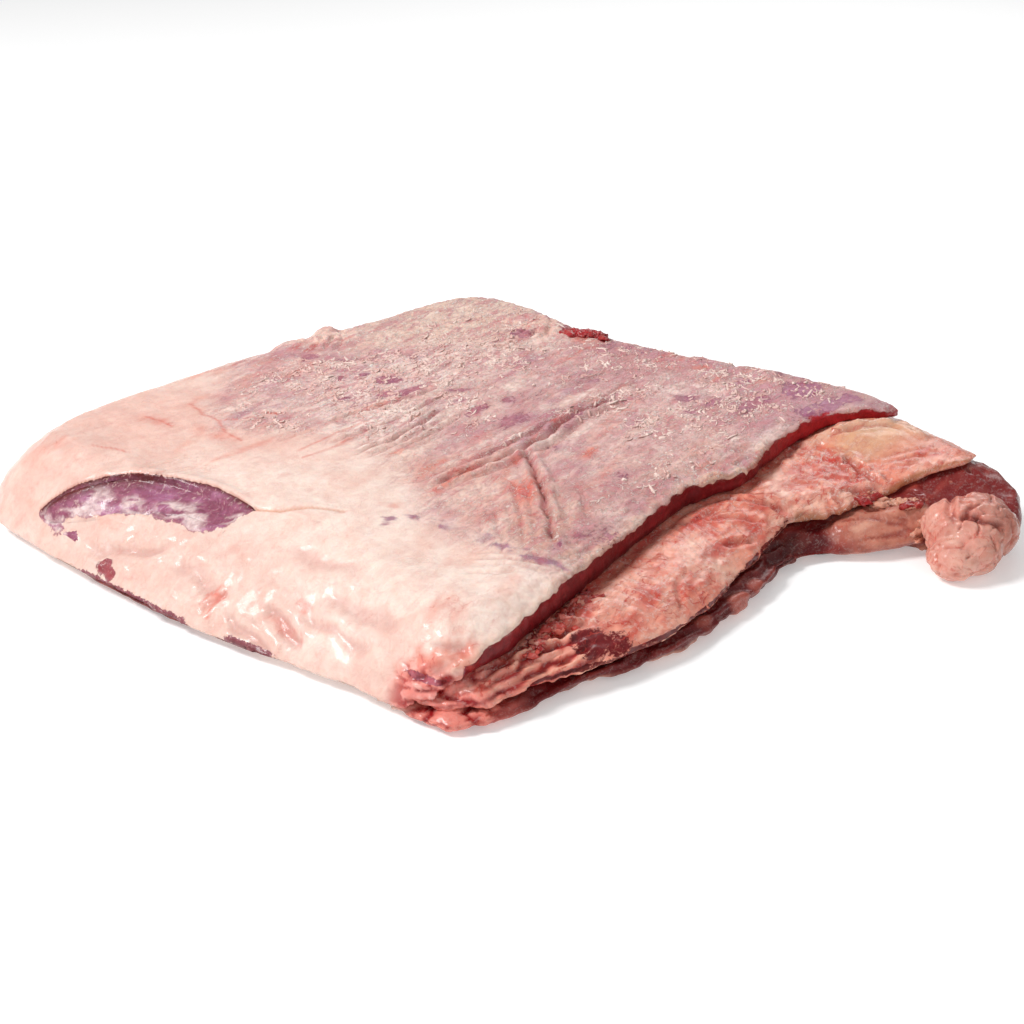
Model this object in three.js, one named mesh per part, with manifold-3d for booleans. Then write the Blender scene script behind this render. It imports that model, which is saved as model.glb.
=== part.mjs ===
// A raw whole beef brisket lying with its fat side up: one slab of meat in three layers that run right
// through it, and the lump of fat at its nose.
//   upper_muscle  the thin top muscle under its silverskin, its left side wrapped in cover fat
//   seam_fat      the fat between the muscles, which runs out in front as a ledge and caps the nose
//   lower_muscle  the thick lean below, which shows along the front, in the fold and as the face of the nose
//   nose_fat      the lump of fat that the nose muscle curls round
// Millimetres, +Z up. The slab lies on z = 0, the cut front faces -Y and the nose is at +X, -Y.
import * as THREE from "three";
import { mergeVertices } from "three/addons/utils/BufferGeometryUtils.js";
import Module from "manifold-3d";

const wasm = await Module();
wasm.setup();

// ---- driving dimensions -------------------------------------------------------------------------
const FOOTPRINT_MIDDLE = new THREE.Vector2(5, 16.5); // the middle of the whole footprint, as drawn below
const HUB = new THREE.Vector2(10, 30); // every layer's rings are drawn round this point
const PLATEAU = 47; // height of the flat top
const SPOKES = 80; // steps round each layer
const LAYER_GAP = 0.7; // clear space between two layers, of which at least half stays clear everywhere
const RING_CROWDING = 1.35; // over 1 crowds the rings towards the lip

const COLOURS = {
  silverskin: 0xd9b3ab,
  fat: 0xe8b7a0,
  lean: 0x7d2a2c,
  noseFat: 0xe0a795,
};

// Outlines go round counter-clockwise from the near corner. Each point is x, y, the height of its lip,
// and how far in from the lip the surface starts to roll down to it.
const UPPER_OUTLINE = [
  [-168, -137, 22, 40],
  [-146, -143, 33, 34],
  [-98, -131, 38, 32],
  [-48, -116, 39.5, 32],
  [0, -101, 40, 32],
  [42, -89, 40.5, 32],
  [66, -91, 39, 32],
  [84, -93, 38, 32],
  [118, -81, 41.5, 28],
  [160, -75.5, 43.5, 26],
  [188, -88, 46, 20],
  [209, -99, 41.5, 18],
  [222, -80, 39.5, 20],
  [214, -32, 39, 24],
  [203, 15, 38.5, 26],
  [188, 70, 38, 26],
  [176, 130, 37.5, 26],
  [176, 200, 38, 26],
  [166, 233, 34, 28],
  [70, 243, 32, 30],
  [-60, 242, 30, 32],
  [-140, 236, 24, 38],
  [-182, 226, 16, 40],
  [-211, 205, 11, 42],
  [-218, 167, 9, 56],
  [-215, 75, 6, 84],
  [-208, 15, 6, 84],
  [-196, -35, 6.5, 76],
  [-184, -85, 7.5, 62],
  [-178, -122, 11, 48],
];
const FAT_OUTLINE = [
  [-168, -138, 12, 16],
  [-152, -153, 13.5, 20],
  [-118, -155, 14, 24],
  [-84, -162, 15, 28],
  [-46, -163, 16, 30],
  [-14, -157, 16.5, 30],
  [20, -145, 17, 30],
  [48, -135, 19, 30],
  [72, -127, 21, 28],
  [90, -122, 23, 24],
  [102, -136, 22.5, 26],
  [128, -143, 25, 26],
  [148, -146, 29, 24],
  [168, -155, 36, 20],
  [188, -163, 38.5, 18],
  [201, -162, 37, 18],
  [208, -140, 36, 20],
  [216, -108, 34, 20],
  [224, -74, 33, 22],
  [212, -20, 32.5, 20],
  [193, 45, 31.5, 16],
  [180, 130, 31, 16],
  [181, 202, 31, 16],
  [170, 236, 30, 16],
  [70, 246, 28, 16],
  [-60, 245, 24.5, 16],
  [-140, 235, 19.5, 16],
  [-186, 214, 11.5, 16],
  [-203, 165, 8.2, 16],
  [-200, 75, 9.3, 16],
  [-192, 15, 10.2, 16],
  [-181, -35, 11, 16],
  [-171, -85, 12.5, 16],
];
const LEAN_OUTLINE = [
  [-172, -148, 6, 20],
  [-152, -157, 7, 20],
  [-106, -157, 8, 24],
  [-46, -166, 9, 26],
  [-6, -159, 9.5, 26],
  [37, -148, 10, 26],
  [70, -139, 9.5, 24],
  [88, -140, 8.5, 20],
  [104, -152, 9.5, 20],
  [118, -162, 12, 20],
  [136, -168, 13.5, 20],
  [154, -176, 20, 24],
  [166, -205, 18, 30],
  [186, -199, 25.5, 28],
  [199, -184, 30.5, 24],
  [206, -161, 32, 22],
  [212, -120, 25, 22],
  [219, -76, 17, 22],
  [208, -20, 16, 22],
  [188, 45, 16.5, 18],
  [175, 130, 18, 18],
  [176, 198, 18, 18],
  [164, 231, 17, 18],
  [70, 240, 17, 18],
  [-60, 239, 14, 18],
  [-140, 231, 9, 18],
  [-189, 216, 5, 18],
  [-211, 163, 4.2, 18],
  [-211, 75, 4.2, 18],
  [-203, 15, 4.2, 18],
  [-190, -35, 4.2, 18],
  [-178, -90, 4.8, 18],
];

// The seams between the layers, their tilt along X, and how they dive where the fat wraps the left side.
const UPPER_SEAM = { height: 28.4, tilt: 0.028, atLeft: 3.6, dive: 100 };
const LOWER_SEAM = { height: 11.5, tilt: 0.012, atLeft: 2.4, dive: 80 };
const NEAR_DIVE = 26; // both seams dive within this stretch at the near corner
const LEFT_SIDE = { x: -219, turn: 75, end: -125, setIn: 42 }; // it moves in by setIn from turn to end

// Rounded rises and hollows, each a middle, a radius and a height.
const TOP_RELIEF = [
  { x: 150, y: 190, radius: 95, height: 3 },
  { x: 60, y: 15, radius: 60, height: 1.5 },
  { x: -95, y: -60, radius: 70, height: -3.5 },
  { x: 176, y: 96, radius: 30, height: -1.5 },
  { x: -60, y: 190, radius: 80, height: -0.5 },
  { x: 196, y: -20, radius: 34, height: 2.5 },
];
const NOSE_CAP = [
  { x: 194, y: -140, radius: 34, height: 7.5 },
  { x: 180, y: -96, radius: 26, height: 9 },
];
const LEAN_RISES = [
  { x: 60, y: 100, radius: 190, height: 11 },
  { x: 192, y: -150, radius: 42, height: 23 },
  { x: 128, y: -128, radius: 34, height: 7 },
];
const FOLD_HOLLOW = { x: 100, y: -134, radius: 17, height: -5 };

const UNDERSIDE = { share: 0.4, most: 8, reach: 26 }; // the rim clears the table by a share of its lip

// The long slit in the cover fat of the left side: half its width and depth, and the way that it goes in.
const SLIT = {
  path: [
    [-209, 147, 15],
    [-193, 121, 28],
    [-175, 96, 36],
    [-163, 68, 40.5],
    [-158, 34, 42],
  ],
  half: [15, 8],
  inward: [0.72, 0.42, -0.55],
};
// The nub of fat on the back edge and the scrap of lean on the right edge.
const NUBS = [
  { middle: [35, 223, 43], half: [14, 9, 8.5], heading: 30 },
  { middle: [12, 225, 41], half: [17, 9, 7], heading: -5 },
  { middle: [159, 112, 42], half: [10, 14, 8], heading: 10 },
];
// The nose fat is a heap of rounded lobules round its middle.
const NOSE_FAT = { middle: [152.5, -193, 17.8], half: [26, 19.5, 17.6], heading: -35 };
const LOBULES = [
  { middle: [163, -190, 23.5], half: [16, 13, 10.8], heading: -30 },
  { middle: [145.5, -182.5, 21.5], half: [14.5, 12, 11.8], heading: -20 },
  { middle: [130.5, -199, 11], half: [15, 14, 10.9], heading: 60 },
  { middle: [142, -204, 13], half: [15.5, 13, 12.5], heading: 0 },
  { middle: [159.5, -200, 19.5], half: [14.5, 13, 13.5], heading: 30 },
];
const NOSE_FAT_GAP = 0.8; // clear space round the nose fat

// ---- shape functions ----------------------------------------------------------------------------
const smooth = (value, from, to) => THREE.MathUtils.smoothstep(value, from, to);
const bump = (b, x, y) =>
  b.height * Math.exp(-((x - b.x) ** 2 + (y - b.y) ** 2) / b.radius ** 2);
const raised = (level, bumps, x, y) => bumps.reduce((z, b) => z + bump(b, x, y), level);
const rounded = (share) => 1 - (1 - THREE.MathUtils.clamp(share, 0, 1)) ** 2;

// A seam lies nearly level, and dives to the left side, which turns inwards towards the near corner.
function seamHeight(seam, x, y) {
  const near = 1 - smooth(y, LEFT_SIDE.end, LEFT_SIDE.turn);
  const inFromLeft = Math.max(0, x - LEFT_SIDE.x - LEFT_SIDE.setIn * near);
  const level = seam.height + seam.tilt * x;
  const dive = THREE.MathUtils.lerp(seam.dive, NEAR_DIVE, near);
  return seam.atLeft + (level - seam.atLeft) * rounded(inFromLeft / dive);
}

const upperSeam = (x, y) => raised(seamHeight(UPPER_SEAM, x, y), NOSE_CAP, x, y);
const lowerSeam = (x, y) => raised(seamHeight(LOWER_SEAM, x, y), LEAN_RISES, x, y);
const topOfSlab = (x, y) => raised(PLATEAU, TOP_RELIEF, x, y);

// A surface that lies at level inside and rolls down to its lip over the last stretch.
const rollToLip = (level, lip, inFromLip) =>
  lip.height + (level - lip.height) * rounded(inFromLip / lip.roll);

// ---- builders -----------------------------------------------------------------------------------
function solidFrom(geometry) {
  geometry.deleteAttribute("normal");
  geometry.deleteAttribute("uv");
  const merged = mergeVertices(geometry, 1e-3);
  return new wasm.Manifold(
    new wasm.Mesh({
      numProp: 3,
      vertProperties: merged.attributes.position.array,
      triVerts: new Uint32Array(merged.index.array),
    }),
  );
}

// One layer: a sphere whose rows become rings. The first rows run over its top from the hub to the lip,
// the next few go down its side, and the last run back to the hub along its underside.
function layer(outline, rings, topAt, undersideAt, bulge) {
  const curve = new THREE.CatmullRomCurve3(
    outline.map(([x, y, height]) => new THREE.Vector3(x, y, height)),
    true,
    "centripetal",
  );
  const rolls = new THREE.CatmullRomCurve3(
    outline.map(([x, y, height, roll]) => new THREE.Vector3(roll, 0, 0)),
    true,
    "catmullrom",
    0,
  );
  const rows = rings.top + rings.side + rings.underside;
  const geometry = new THREE.SphereGeometry(1, SPOKES, rows);
  const { position, uv } = geometry.attributes;
  for (let i = 0; i < position.count; i++) {
    const row = Math.round((1 - uv.getY(i)) * rows);
    const atPole = row === 0 || row === rows;
    const along = curve.getUtoTmapping(atPole ? 0 : uv.getX(i) % 1);
    const edge = curve.getPoint(along);
    const lip = { height: edge.z, roll: rolls.getPoint(along).x };
    const spoke = new THREE.Vector2(edge.x, edge.y).sub(HUB);
    const reach = spoke.length();
    const onTop = row <= rings.top;
    const fromHub = onTop ? row / rings.top : (rows - row) / rings.underside;
    const share = Math.min(1, 1 - (1 - Math.min(1, fromHub)) ** RING_CROWDING);
    const ring = spoke.clone().multiplyScalar(share).add(HUB);
    const inFromLip = reach * (1 - share);
    const underside = undersideAt(ring.x, ring.y, lip, inFromLip);
    let z = onTop ? topAt(ring.x, ring.y, lip, inFromLip) : underside;
    if (!onTop && row < rings.top + rings.side) {
      const down = (row - rings.top) / rings.side;
      z = THREE.MathUtils.lerp(edge.z, underside, down);
      ring.addScaledVector(spoke, (bulge * (edge.z - underside) * Math.sin(Math.PI * down)) / reach);
    }
    position.setXYZ(i, ring.x, ring.y, z);
  }
  return solidFrom(geometry);
}

function ellipsoid({ middle, half, heading }, grow, segments) {
  const rows = Math.round(segments * 0.6);
  const geometry = new THREE.SphereGeometry(1, segments, rows);
  geometry.scale(...half.map((h) => h + grow));
  geometry.rotateZ(THREE.MathUtils.degToRad(heading));
  geometry.translate(...middle);
  return solidFrom(geometry);
}

// A spindle: a sphere whose axis is bent along a path, its section an ellipse that tapers to both ends.
function spindle({ path, half, inward }, segments) {
  const curve = new THREE.CatmullRomCurve3(path.map((p) => new THREE.Vector3(...p)));
  const deep = new THREE.Vector3(...inward).normalize();
  const geometry = new THREE.SphereGeometry(1, segments, segments);
  const { position, uv } = geometry.attributes;
  for (let i = 0; i < position.count; i++) {
    const turn = 2 * Math.PI * uv.getX(i);
    const slope = Math.PI * (1 - uv.getY(i));
    const along = (1 - Math.cos(slope)) / 2;
    const across = curve.getTangentAt(along).cross(deep).normalize();
    const point = curve.getPointAt(along);
    point.addScaledVector(across, half[0] * Math.sin(slope) * Math.cos(turn));
    point.addScaledVector(deep, half[1] * Math.sin(slope) * Math.sin(turn));
    position.setXYZ(i, point.x, point.y, point.z);
  }
  return solidFrom(geometry);
}

function noseFat(grow) {
  const body = ellipsoid(NOSE_FAT, grow, 24);
  return LOBULES.reduce((lump, lobule) => lump.add(ellipsoid(lobule, grow, 18)), body);
}

function meshOf(name, solid, colour, roughness) {
  const { vertProperties, triVerts } = solid.getMesh();
  const geometry = new THREE.BufferGeometry();
  geometry.setAttribute("position", new THREE.BufferAttribute(vertProperties, 3));
  geometry.setIndex(new THREE.BufferAttribute(triVerts, 1));
  geometry.computeVertexNormals();
  const material = new THREE.MeshStandardMaterial({ color: colour, roughness, metalness: 0 });
  const mesh = new THREE.Mesh(geometry, material);
  mesh.name = name;
  return mesh;
}

// ---- the four pieces ----------------------------------------------------------------------------
function upperMuscle() {
  const slab = layer(
    UPPER_OUTLINE,
    { top: 15, side: 3, underside: 5 },
    (x, y, lip, inFromLip) => rollToLip(topOfSlab(x, y), lip, inFromLip),
    (x, y) => upperSeam(x, y) + LAYER_GAP / 2,
    0.12,
  );
  const withNubs = NUBS.reduce((solid, nub) => solid.add(ellipsoid(nub, 0, 14)), slab);
  return withNubs.subtract(spindle(SLIT, 16));
}

function seamFat() {
  const slab = layer(
    FAT_OUTLINE,
    { top: 10, side: 2, underside: 5 },
    (x, y, lip, inFromLip) => rollToLip(upperSeam(x, y) - LAYER_GAP / 2, lip, inFromLip),
    (x, y) => lowerSeam(x, y) + LAYER_GAP / 2,
    0.25,
  );
  return slab.subtract(noseFat(NOSE_FAT_GAP));
}

function lowerMuscle() {
  const slab = layer(
    LEAN_OUTLINE,
    { top: 7, side: 3, underside: 5 },
    (x, y, lip, inFromLip) =>
      rollToLip(lowerSeam(x, y) - LAYER_GAP / 2, lip, inFromLip) + bump(FOLD_HOLLOW, x, y),
    (x, y, lip, inFromLip) =>
      Math.min(UNDERSIDE.most, UNDERSIDE.share * lip.height) *
      (1 - rounded(inFromLip / UNDERSIDE.reach)),
    0.2,
  );
  return slab.subtract(noseFat(NOSE_FAT_GAP));
}

// Cuts out of a layer whatever comes within half the gap of the layer that lies on it.
const clearOf = (below, above) => below.subtract(above.translate([0, 0, -LAYER_GAP / 2]));

const largest = (solid) => solid.decompose().reduce((a, b) => (b.volume() > a.volume() ? b : a));

const upper = largest(upperMuscle());
const fat = largest(clearOf(seamFat(), upper));
const lean = largest(clearOf(clearOf(lowerMuscle(), fat), upper));

const brisket = new THREE.Group();
brisket.position.set(-FOOTPRINT_MIDDLE.x, -FOOTPRINT_MIDDLE.y, 0);
brisket.add(
  meshOf("upper_muscle", upper, COLOURS.silverskin, 0.45),
  meshOf("seam_fat", fat, COLOURS.fat, 0.4),
  meshOf("lower_muscle", lean, COLOURS.lean, 0.4),
  meshOf("nose_fat", noseFat(0), COLOURS.noseFat, 0.4),
);

export default brisket;
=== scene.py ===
# %% [markdown]
# # A raw beef brisket
# A whole raw brisket lies with its fat side up. It is one slab of meat in layers: a thin top muscle under
# its silverskin, a layer of seam fat that runs out in front as a ledge, the lean below it, and a lump of
# fat at the nose. The CAD frame gives each layer as a coarse solid. Each one is copied here, remeshed fine
# enough for folds and torn edges, and then shaped and painted by rules.

import math

import bpy
import numpy as np
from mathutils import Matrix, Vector
from mathutils.bvhtree import BVHTree


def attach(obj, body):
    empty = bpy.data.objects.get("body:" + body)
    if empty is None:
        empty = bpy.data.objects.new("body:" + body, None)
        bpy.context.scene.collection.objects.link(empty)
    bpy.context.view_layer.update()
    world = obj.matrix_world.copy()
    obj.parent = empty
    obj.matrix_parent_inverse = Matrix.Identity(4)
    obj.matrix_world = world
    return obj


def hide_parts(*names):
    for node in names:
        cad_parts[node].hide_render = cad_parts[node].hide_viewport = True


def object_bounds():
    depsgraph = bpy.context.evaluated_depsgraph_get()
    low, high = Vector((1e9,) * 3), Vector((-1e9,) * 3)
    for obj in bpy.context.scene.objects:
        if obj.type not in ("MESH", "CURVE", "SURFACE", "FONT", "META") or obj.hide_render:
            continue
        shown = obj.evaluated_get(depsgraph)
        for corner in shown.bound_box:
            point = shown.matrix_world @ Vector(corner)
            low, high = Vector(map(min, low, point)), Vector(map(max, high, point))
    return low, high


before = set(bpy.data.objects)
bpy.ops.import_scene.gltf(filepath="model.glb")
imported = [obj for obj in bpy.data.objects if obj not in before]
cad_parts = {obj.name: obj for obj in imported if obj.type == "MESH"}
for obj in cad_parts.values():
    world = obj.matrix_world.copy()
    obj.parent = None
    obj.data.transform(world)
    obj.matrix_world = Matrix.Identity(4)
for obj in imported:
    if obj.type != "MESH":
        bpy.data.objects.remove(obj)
cad_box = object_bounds()
print("CAD box", cad_box)

# %% [markdown]
# ## Camera, floor and light
# The slab is seen from its near corner, 24 degrees above the table, through a lens of about 66 mm. A
# large soft light above and behind the left shoulder lifts the pale fat and puts small highlights on
# whatever is wet, and a pale room fills the shadows.

# %% Camera and stage
TARGET = Vector((-0.030, -0.0415, 0.025))
AZIMUTH, ELEVATION, DISTANCE = math.radians(-41.5), math.radians(24.4), 1.0
LENS, SENSOR = 65.8, 36
FLOOR_SIZE = 12


def aim(thing, target):
    """Turns a camera or a light to face a point."""
    thing.rotation_euler = (Vector(target) - thing.location).to_track_quat("-Z", "Y").to_euler()


camera_data = bpy.data.cameras.new("camera")
camera = bpy.data.objects.new("camera", camera_data)
bpy.context.scene.collection.objects.link(camera)
camera_data.sensor_width, camera_data.lens = SENSOR, LENS
level = math.cos(ELEVATION)
heading = Vector((math.sin(AZIMUTH) * level, -math.cos(AZIMUTH) * level, math.sin(ELEVATION)))
camera.location = TARGET + DISTANCE * heading
aim(camera, TARGET)
bpy.context.scene.camera = camera
print("camera at", camera.location)

bpy.ops.mesh.primitive_plane_add(size=FLOOR_SIZE)
floor = bpy.context.object
floor.name = "floor"
floor_paint = bpy.data.materials.new("floor_paint")
floor_paint.use_nodes = True
floor_shader = floor_paint.node_tree.nodes["Principled BSDF"]
floor_shader.inputs["Base Color"].default_value = (0.8, 0.8, 0.8, 1)
floor_shader.inputs["Emission Color"].default_value = (1, 1, 1, 1)
floor_shader.inputs["Emission Strength"].default_value = 0.3
floor_shader.inputs["Roughness"].default_value = 0.9
floor.data.materials.append(floor_paint)


# %% Lights
def area_light(name, location, size, power, target=(0, 0, 0.02)):
    """A square soft light that faces the slab."""
    data = bpy.data.lights.new(name, "AREA")
    data.size = size
    data.energy = power
    light = bpy.data.objects.new(name, data)
    light.location = location
    bpy.context.scene.collection.objects.link(light)
    aim(light, target)
    print("light", name, power, "W")


area_light("key", (-1.1, 0.7, 1.7), 0.7, 38)
area_light("fill", (-0.9, -1.9, 1.2), 1.6, 7)
area_light("rim", (1.6, 0.9, 1.2), 0.9, 7)
area_light("low", (-1.7, -0.5, 0.35), 1.0, 2, (-0.1, 0, 0))
world = bpy.data.worlds.new("room")
bpy.context.scene.world = world
world.use_nodes = True
room = world.node_tree.nodes["Background"]
room.inputs["Color"].default_value = (1, 1, 1, 1)
room.inputs["Strength"].default_value = 0.40
bpy.context.scene.view_settings.view_transform = "Standard"

# %% [markdown]
# ## Shaping by rules
# Meat has no straight edges, so everything below is made with smooth noise, soft-edged blobs and lines
# with a width, all in millimetres in plan. Each rule gives a number for every vertex, which either moves
# the vertex or mixes a colour into its paint.


# %% Noise
def lattice(x, y, z, seed):
    """A random whole number for every corner of the noise's grid."""
    h = x * np.uint32(0x8DA6B343) ^ y * np.uint32(0xD8163841) ^ z * np.uint32(0xCB1AB31F)
    h ^= np.uint32(seed * 7919 + 17)
    h ^= h >> np.uint32(15)
    h *= np.uint32(0x2C1B3C6D)
    h ^= h >> np.uint32(12)
    h *= np.uint32(0x297A2D39)
    return h ^ (h >> np.uint32(15))


def noise(points, size, seed=0):
    """Smooth noise of about -1 to 1 with features of the given size."""
    q = points / size
    base = np.floor(q)
    f = q - base
    cell = base.astype(np.int64).astype(np.uint32)
    w = f * f * f * (f * (f * 6 - 15) + 10)
    total = np.zeros(len(points))
    for corner in range(8):
        o = (corner & 1, corner >> 1 & 1, corner >> 2 & 1)
        h = lattice(*(cell[:, k] + np.uint32(o[k]) for k in range(3)), seed)
        slopes = [(h >> np.uint32(10 * k) & np.uint32(1023)) / 511.5 - 1 for k in range(3)]
        dot = sum(slopes[k] * (f[:, k] - o[k]) for k in range(3))
        total += dot * np.prod([w[:, k] if o[k] else 1 - w[:, k] for k in range(3)], axis=0)
    return total * 1.5


def fbm(points, size, octaves=3, seed=0):
    """Noise with finer and weaker noise laid over it."""
    return sum(noise(points, size / 2**k, seed + k) / 2**k for k in range(octaves)) / 1.5


def ridges(points, size, octaves=3, seed=0):
    """Sharp crests of 0 to 1, such as threads and small folds make."""
    crests = [1 - np.abs(noise(points, size / 2**k, seed + k)) for k in range(octaves)]
    return sum(crest**3 / 2**k for k, crest in enumerate(crests)) / 1.6


def turned(points, degrees, stretch):
    """The points turned in plan, and squeezed along the new x so that noise there comes out long."""
    a = math.radians(degrees)
    out = points.copy()
    out[:, 0] = (points[:, 0] * math.cos(a) + points[:, 1] * math.sin(a)) / stretch
    out[:, 1] = -points[:, 0] * math.sin(a) + points[:, 1] * math.cos(a)
    return out


def swirled(points, reach, size, seed):
    """The points pushed about by noise, so that whatever is drawn through them wanders."""
    return points + reach * np.column_stack([noise(points, size, seed + k) for k in range(3)])


# %% Soft shapes
def step(value, low, high):
    """0 below low and 1 above high, with a smooth rise between them."""
    t = np.clip((value - low) / (high - low), 0, 1)
    return t * t * (3 - 2 * t)


def line_distance(points, line):
    """How far each point lies from a line in plan, its side, and how far along the line it is, 0 to 1."""
    line = np.asarray(line, float)
    legs = np.linalg.norm(np.diff(line[:, :2], axis=0), axis=1)
    starts = np.concatenate([[0], np.cumsum(legs)])
    best = np.full(len(points), 1e9)
    side = np.zeros(len(points))
    along = np.zeros(len(points))
    for k, leg in enumerate(legs):
        a, d = line[k, :2], (line[k + 1, :2] - line[k, :2]) / leg
        rel = points[:, :2] - a
        t = np.clip(rel @ d, 0, leg)
        off = rel - t[:, None] * d
        far = np.linalg.norm(off, axis=1)
        near = far < best
        best[near] = far[near]
        side[near] = (d[0] * rel[:, 1] - d[1] * rel[:, 0])[near]
        along[near] = (starts[k] + t[near]) / starts[-1]
    return best, np.sign(side), along


def along_line(line, along, column):
    """The value that a line's points have in a column, worked out for places along it."""
    line = np.asarray(line, float)
    legs = np.linalg.norm(np.diff(line[:, :2], axis=0), axis=1)
    starts = np.concatenate([[0], np.cumsum(legs)]) / legs.sum()
    return np.interp(along, starts, line[:, column])


def blob(points, x, y, rx, ry=None, turn=0.0, edge=0.5):
    """1 inside an ellipse, fading to 0 at its border."""
    p = turned(points - np.array([x, y, 0.0]), turn, 1)
    r = np.hypot(p[:, 0] / rx, p[:, 1] / (ry or rx))
    return 1 - step(r, 1 - edge, 1 + edge)


def blobs(points, spots, edge=0.5):
    """Several ellipses (x, y, rx, ry, turn, strength) as one mask."""
    out = np.zeros(len(points))
    for x, y, rx, ry, turn, strength in spots:
        out = np.maximum(out, strength * blob(points, x, y, rx, ry, turn, edge))
    return out


def crease(points, line, width, depth):
    """A valley along a line with a low ridge on both sides, dying out at both ends."""
    far, _, along = line_distance(points, line)
    ends = step(along, 0, 0.2) * (1 - step(along, 0.8, 1))
    wander = far + 1.2 * noise(points, 9, 71)
    valley = np.exp(-((wander / width) ** 2))
    ridge = np.exp(-(((np.abs(wander) - 2.1 * width) / width) ** 2))
    return depth * ends * (0.45 * ridge - valley)


# %% Paint
def colour(r, g, b):
    """A colour given as it shows on a screen, 0 to 255, made linear."""
    c = np.array([r, g, b]) / 255
    return np.where(c <= 0.04045, c / 12.92, ((c + 0.055) / 1.055) ** 2.4)


def mix(paint, other, mask):
    """One paint laid over another where the mask says."""
    return paint + (other - paint) * np.clip(mask, 0, 1)[:, None]


# %% [markdown]
# ## Fine copies of the layers
# A layer's solid has long flat facets. Its copy is welded, remeshed into small even quads and smoothed,
# which leaves the form and takes the facets away. Whatever lies against the next layer never shows, so
# the quads there are thinned out again.


# %% Copy a CAD node
WELD = 1e-5


def fine_copy(node, name, voxel, rounds, sharp=None):
    """A welded, remeshed and smoothed copy of a node. Sharp says which points keep their edges."""
    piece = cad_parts[node].copy()
    piece.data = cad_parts[node].data.copy()
    piece.name = name
    piece.data.name = name
    piece.data.materials.clear()
    bpy.context.scene.collection.objects.link(piece)
    bpy.ops.object.select_all(action="DESELECT")
    piece.select_set(True)
    bpy.context.view_layer.objects.active = piece
    bpy.ops.object.mode_set(mode="EDIT")
    bpy.ops.mesh.select_all(action="SELECT")
    bpy.ops.mesh.remove_doubles(threshold=WELD)
    bpy.ops.object.mode_set(mode="OBJECT")
    piece.data.remesh_voxel_size = voxel
    piece.data.remesh_voxel_adaptivity = 0
    bpy.ops.object.voxel_remesh()
    relax(piece, 3)
    relax(piece, rounds, sharp)
    return piece


def relax(piece, rounds, keep=None):
    """Smooths a piece, less where keep says so."""
    smooth = piece.modifiers.new("smooth", "SMOOTH")
    smooth.iterations = rounds
    smooth.factor = 0.5
    if keep is not None:
        group = piece.vertex_groups.new(name="soft")
        weights = 1 - keep(points_of(piece))
        for tenths in range(11):
            picked = np.nonzero(np.round(weights * 10) == tenths)[0]
            group.add(picked.tolist(), tenths / 10, "REPLACE")
        smooth.vertex_group = "soft"
    bpy.ops.object.modifier_apply(modifier=smooth.name)


def points_of(piece):
    """The vertices in millimetres."""
    flat = np.empty(len(piece.data.vertices) * 3)
    piece.data.vertices.foreach_get("co", flat)
    return flat.reshape(-1, 3) * 1000


def set_points(piece, points):
    """Moves the vertices to points in millimetres."""
    piece.data.vertices.foreach_set("co", (points / 1000).ravel())
    piece.data.update()


def normals_of(piece):
    """The direction in which the skin faces at each vertex."""
    flat = np.empty(len(piece.data.vertices) * 3)
    piece.data.vertex_normals.foreach_get("vector", flat)
    return flat.reshape(-1, 3)


def thin_out(piece, hidden, share):
    """Keeps only a share of the triangles where hidden is true, and gives the points and normals again."""
    group = piece.vertex_groups.new(name="hidden")
    group.add(np.nonzero(hidden)[0].tolist(), 1.0, "REPLACE")
    thin = piece.modifiers.new("thin", "DECIMATE")
    thin.ratio = share
    thin.vertex_group = "hidden"
    thin.vertex_group_factor = 10
    bpy.ops.object.modifier_apply(modifier=thin.name)
    print(piece.name, "has", sum(len(face.vertices) - 2 for face in piece.data.polygons), "triangles")
    return points_of(piece), normals_of(piece)


def store(piece, name, values):
    """Writes a mask or a colour to the vertices. One number or one colour does for all of them."""
    count = len(piece.data.vertices)
    if name in ("paint", "under"):
        layer = piece.data.attributes.new(name, "FLOAT_COLOR", "POINT")
        rgba = np.ones((count, 4))
        rgba[:, :3] = np.clip(colour(*values) if isinstance(values, tuple) else values, 0, 1)
        layer.data.foreach_set("color", rgba.ravel())
    else:
        layer = piece.data.attributes.new(name, "FLOAT", "POINT")
        layer.data.foreach_set("value", np.clip(values, 0, 1) * np.ones(count))


# %% [markdown]
# ## The materials
# All four layers are wet flesh: light goes a little way in and comes back redder, and a thin film of
# juice gives a sharp gloss over a softer one. Every vertex holds two colours, the skin and what lies under
# it, and a mask that says how nearly the skin is torn through. One group breaks that mask up into ragged
# edges, mottles both colours, lets the under colour shine through in streaks, and adds pale flecks and
# red threads with bumps to match.


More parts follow.
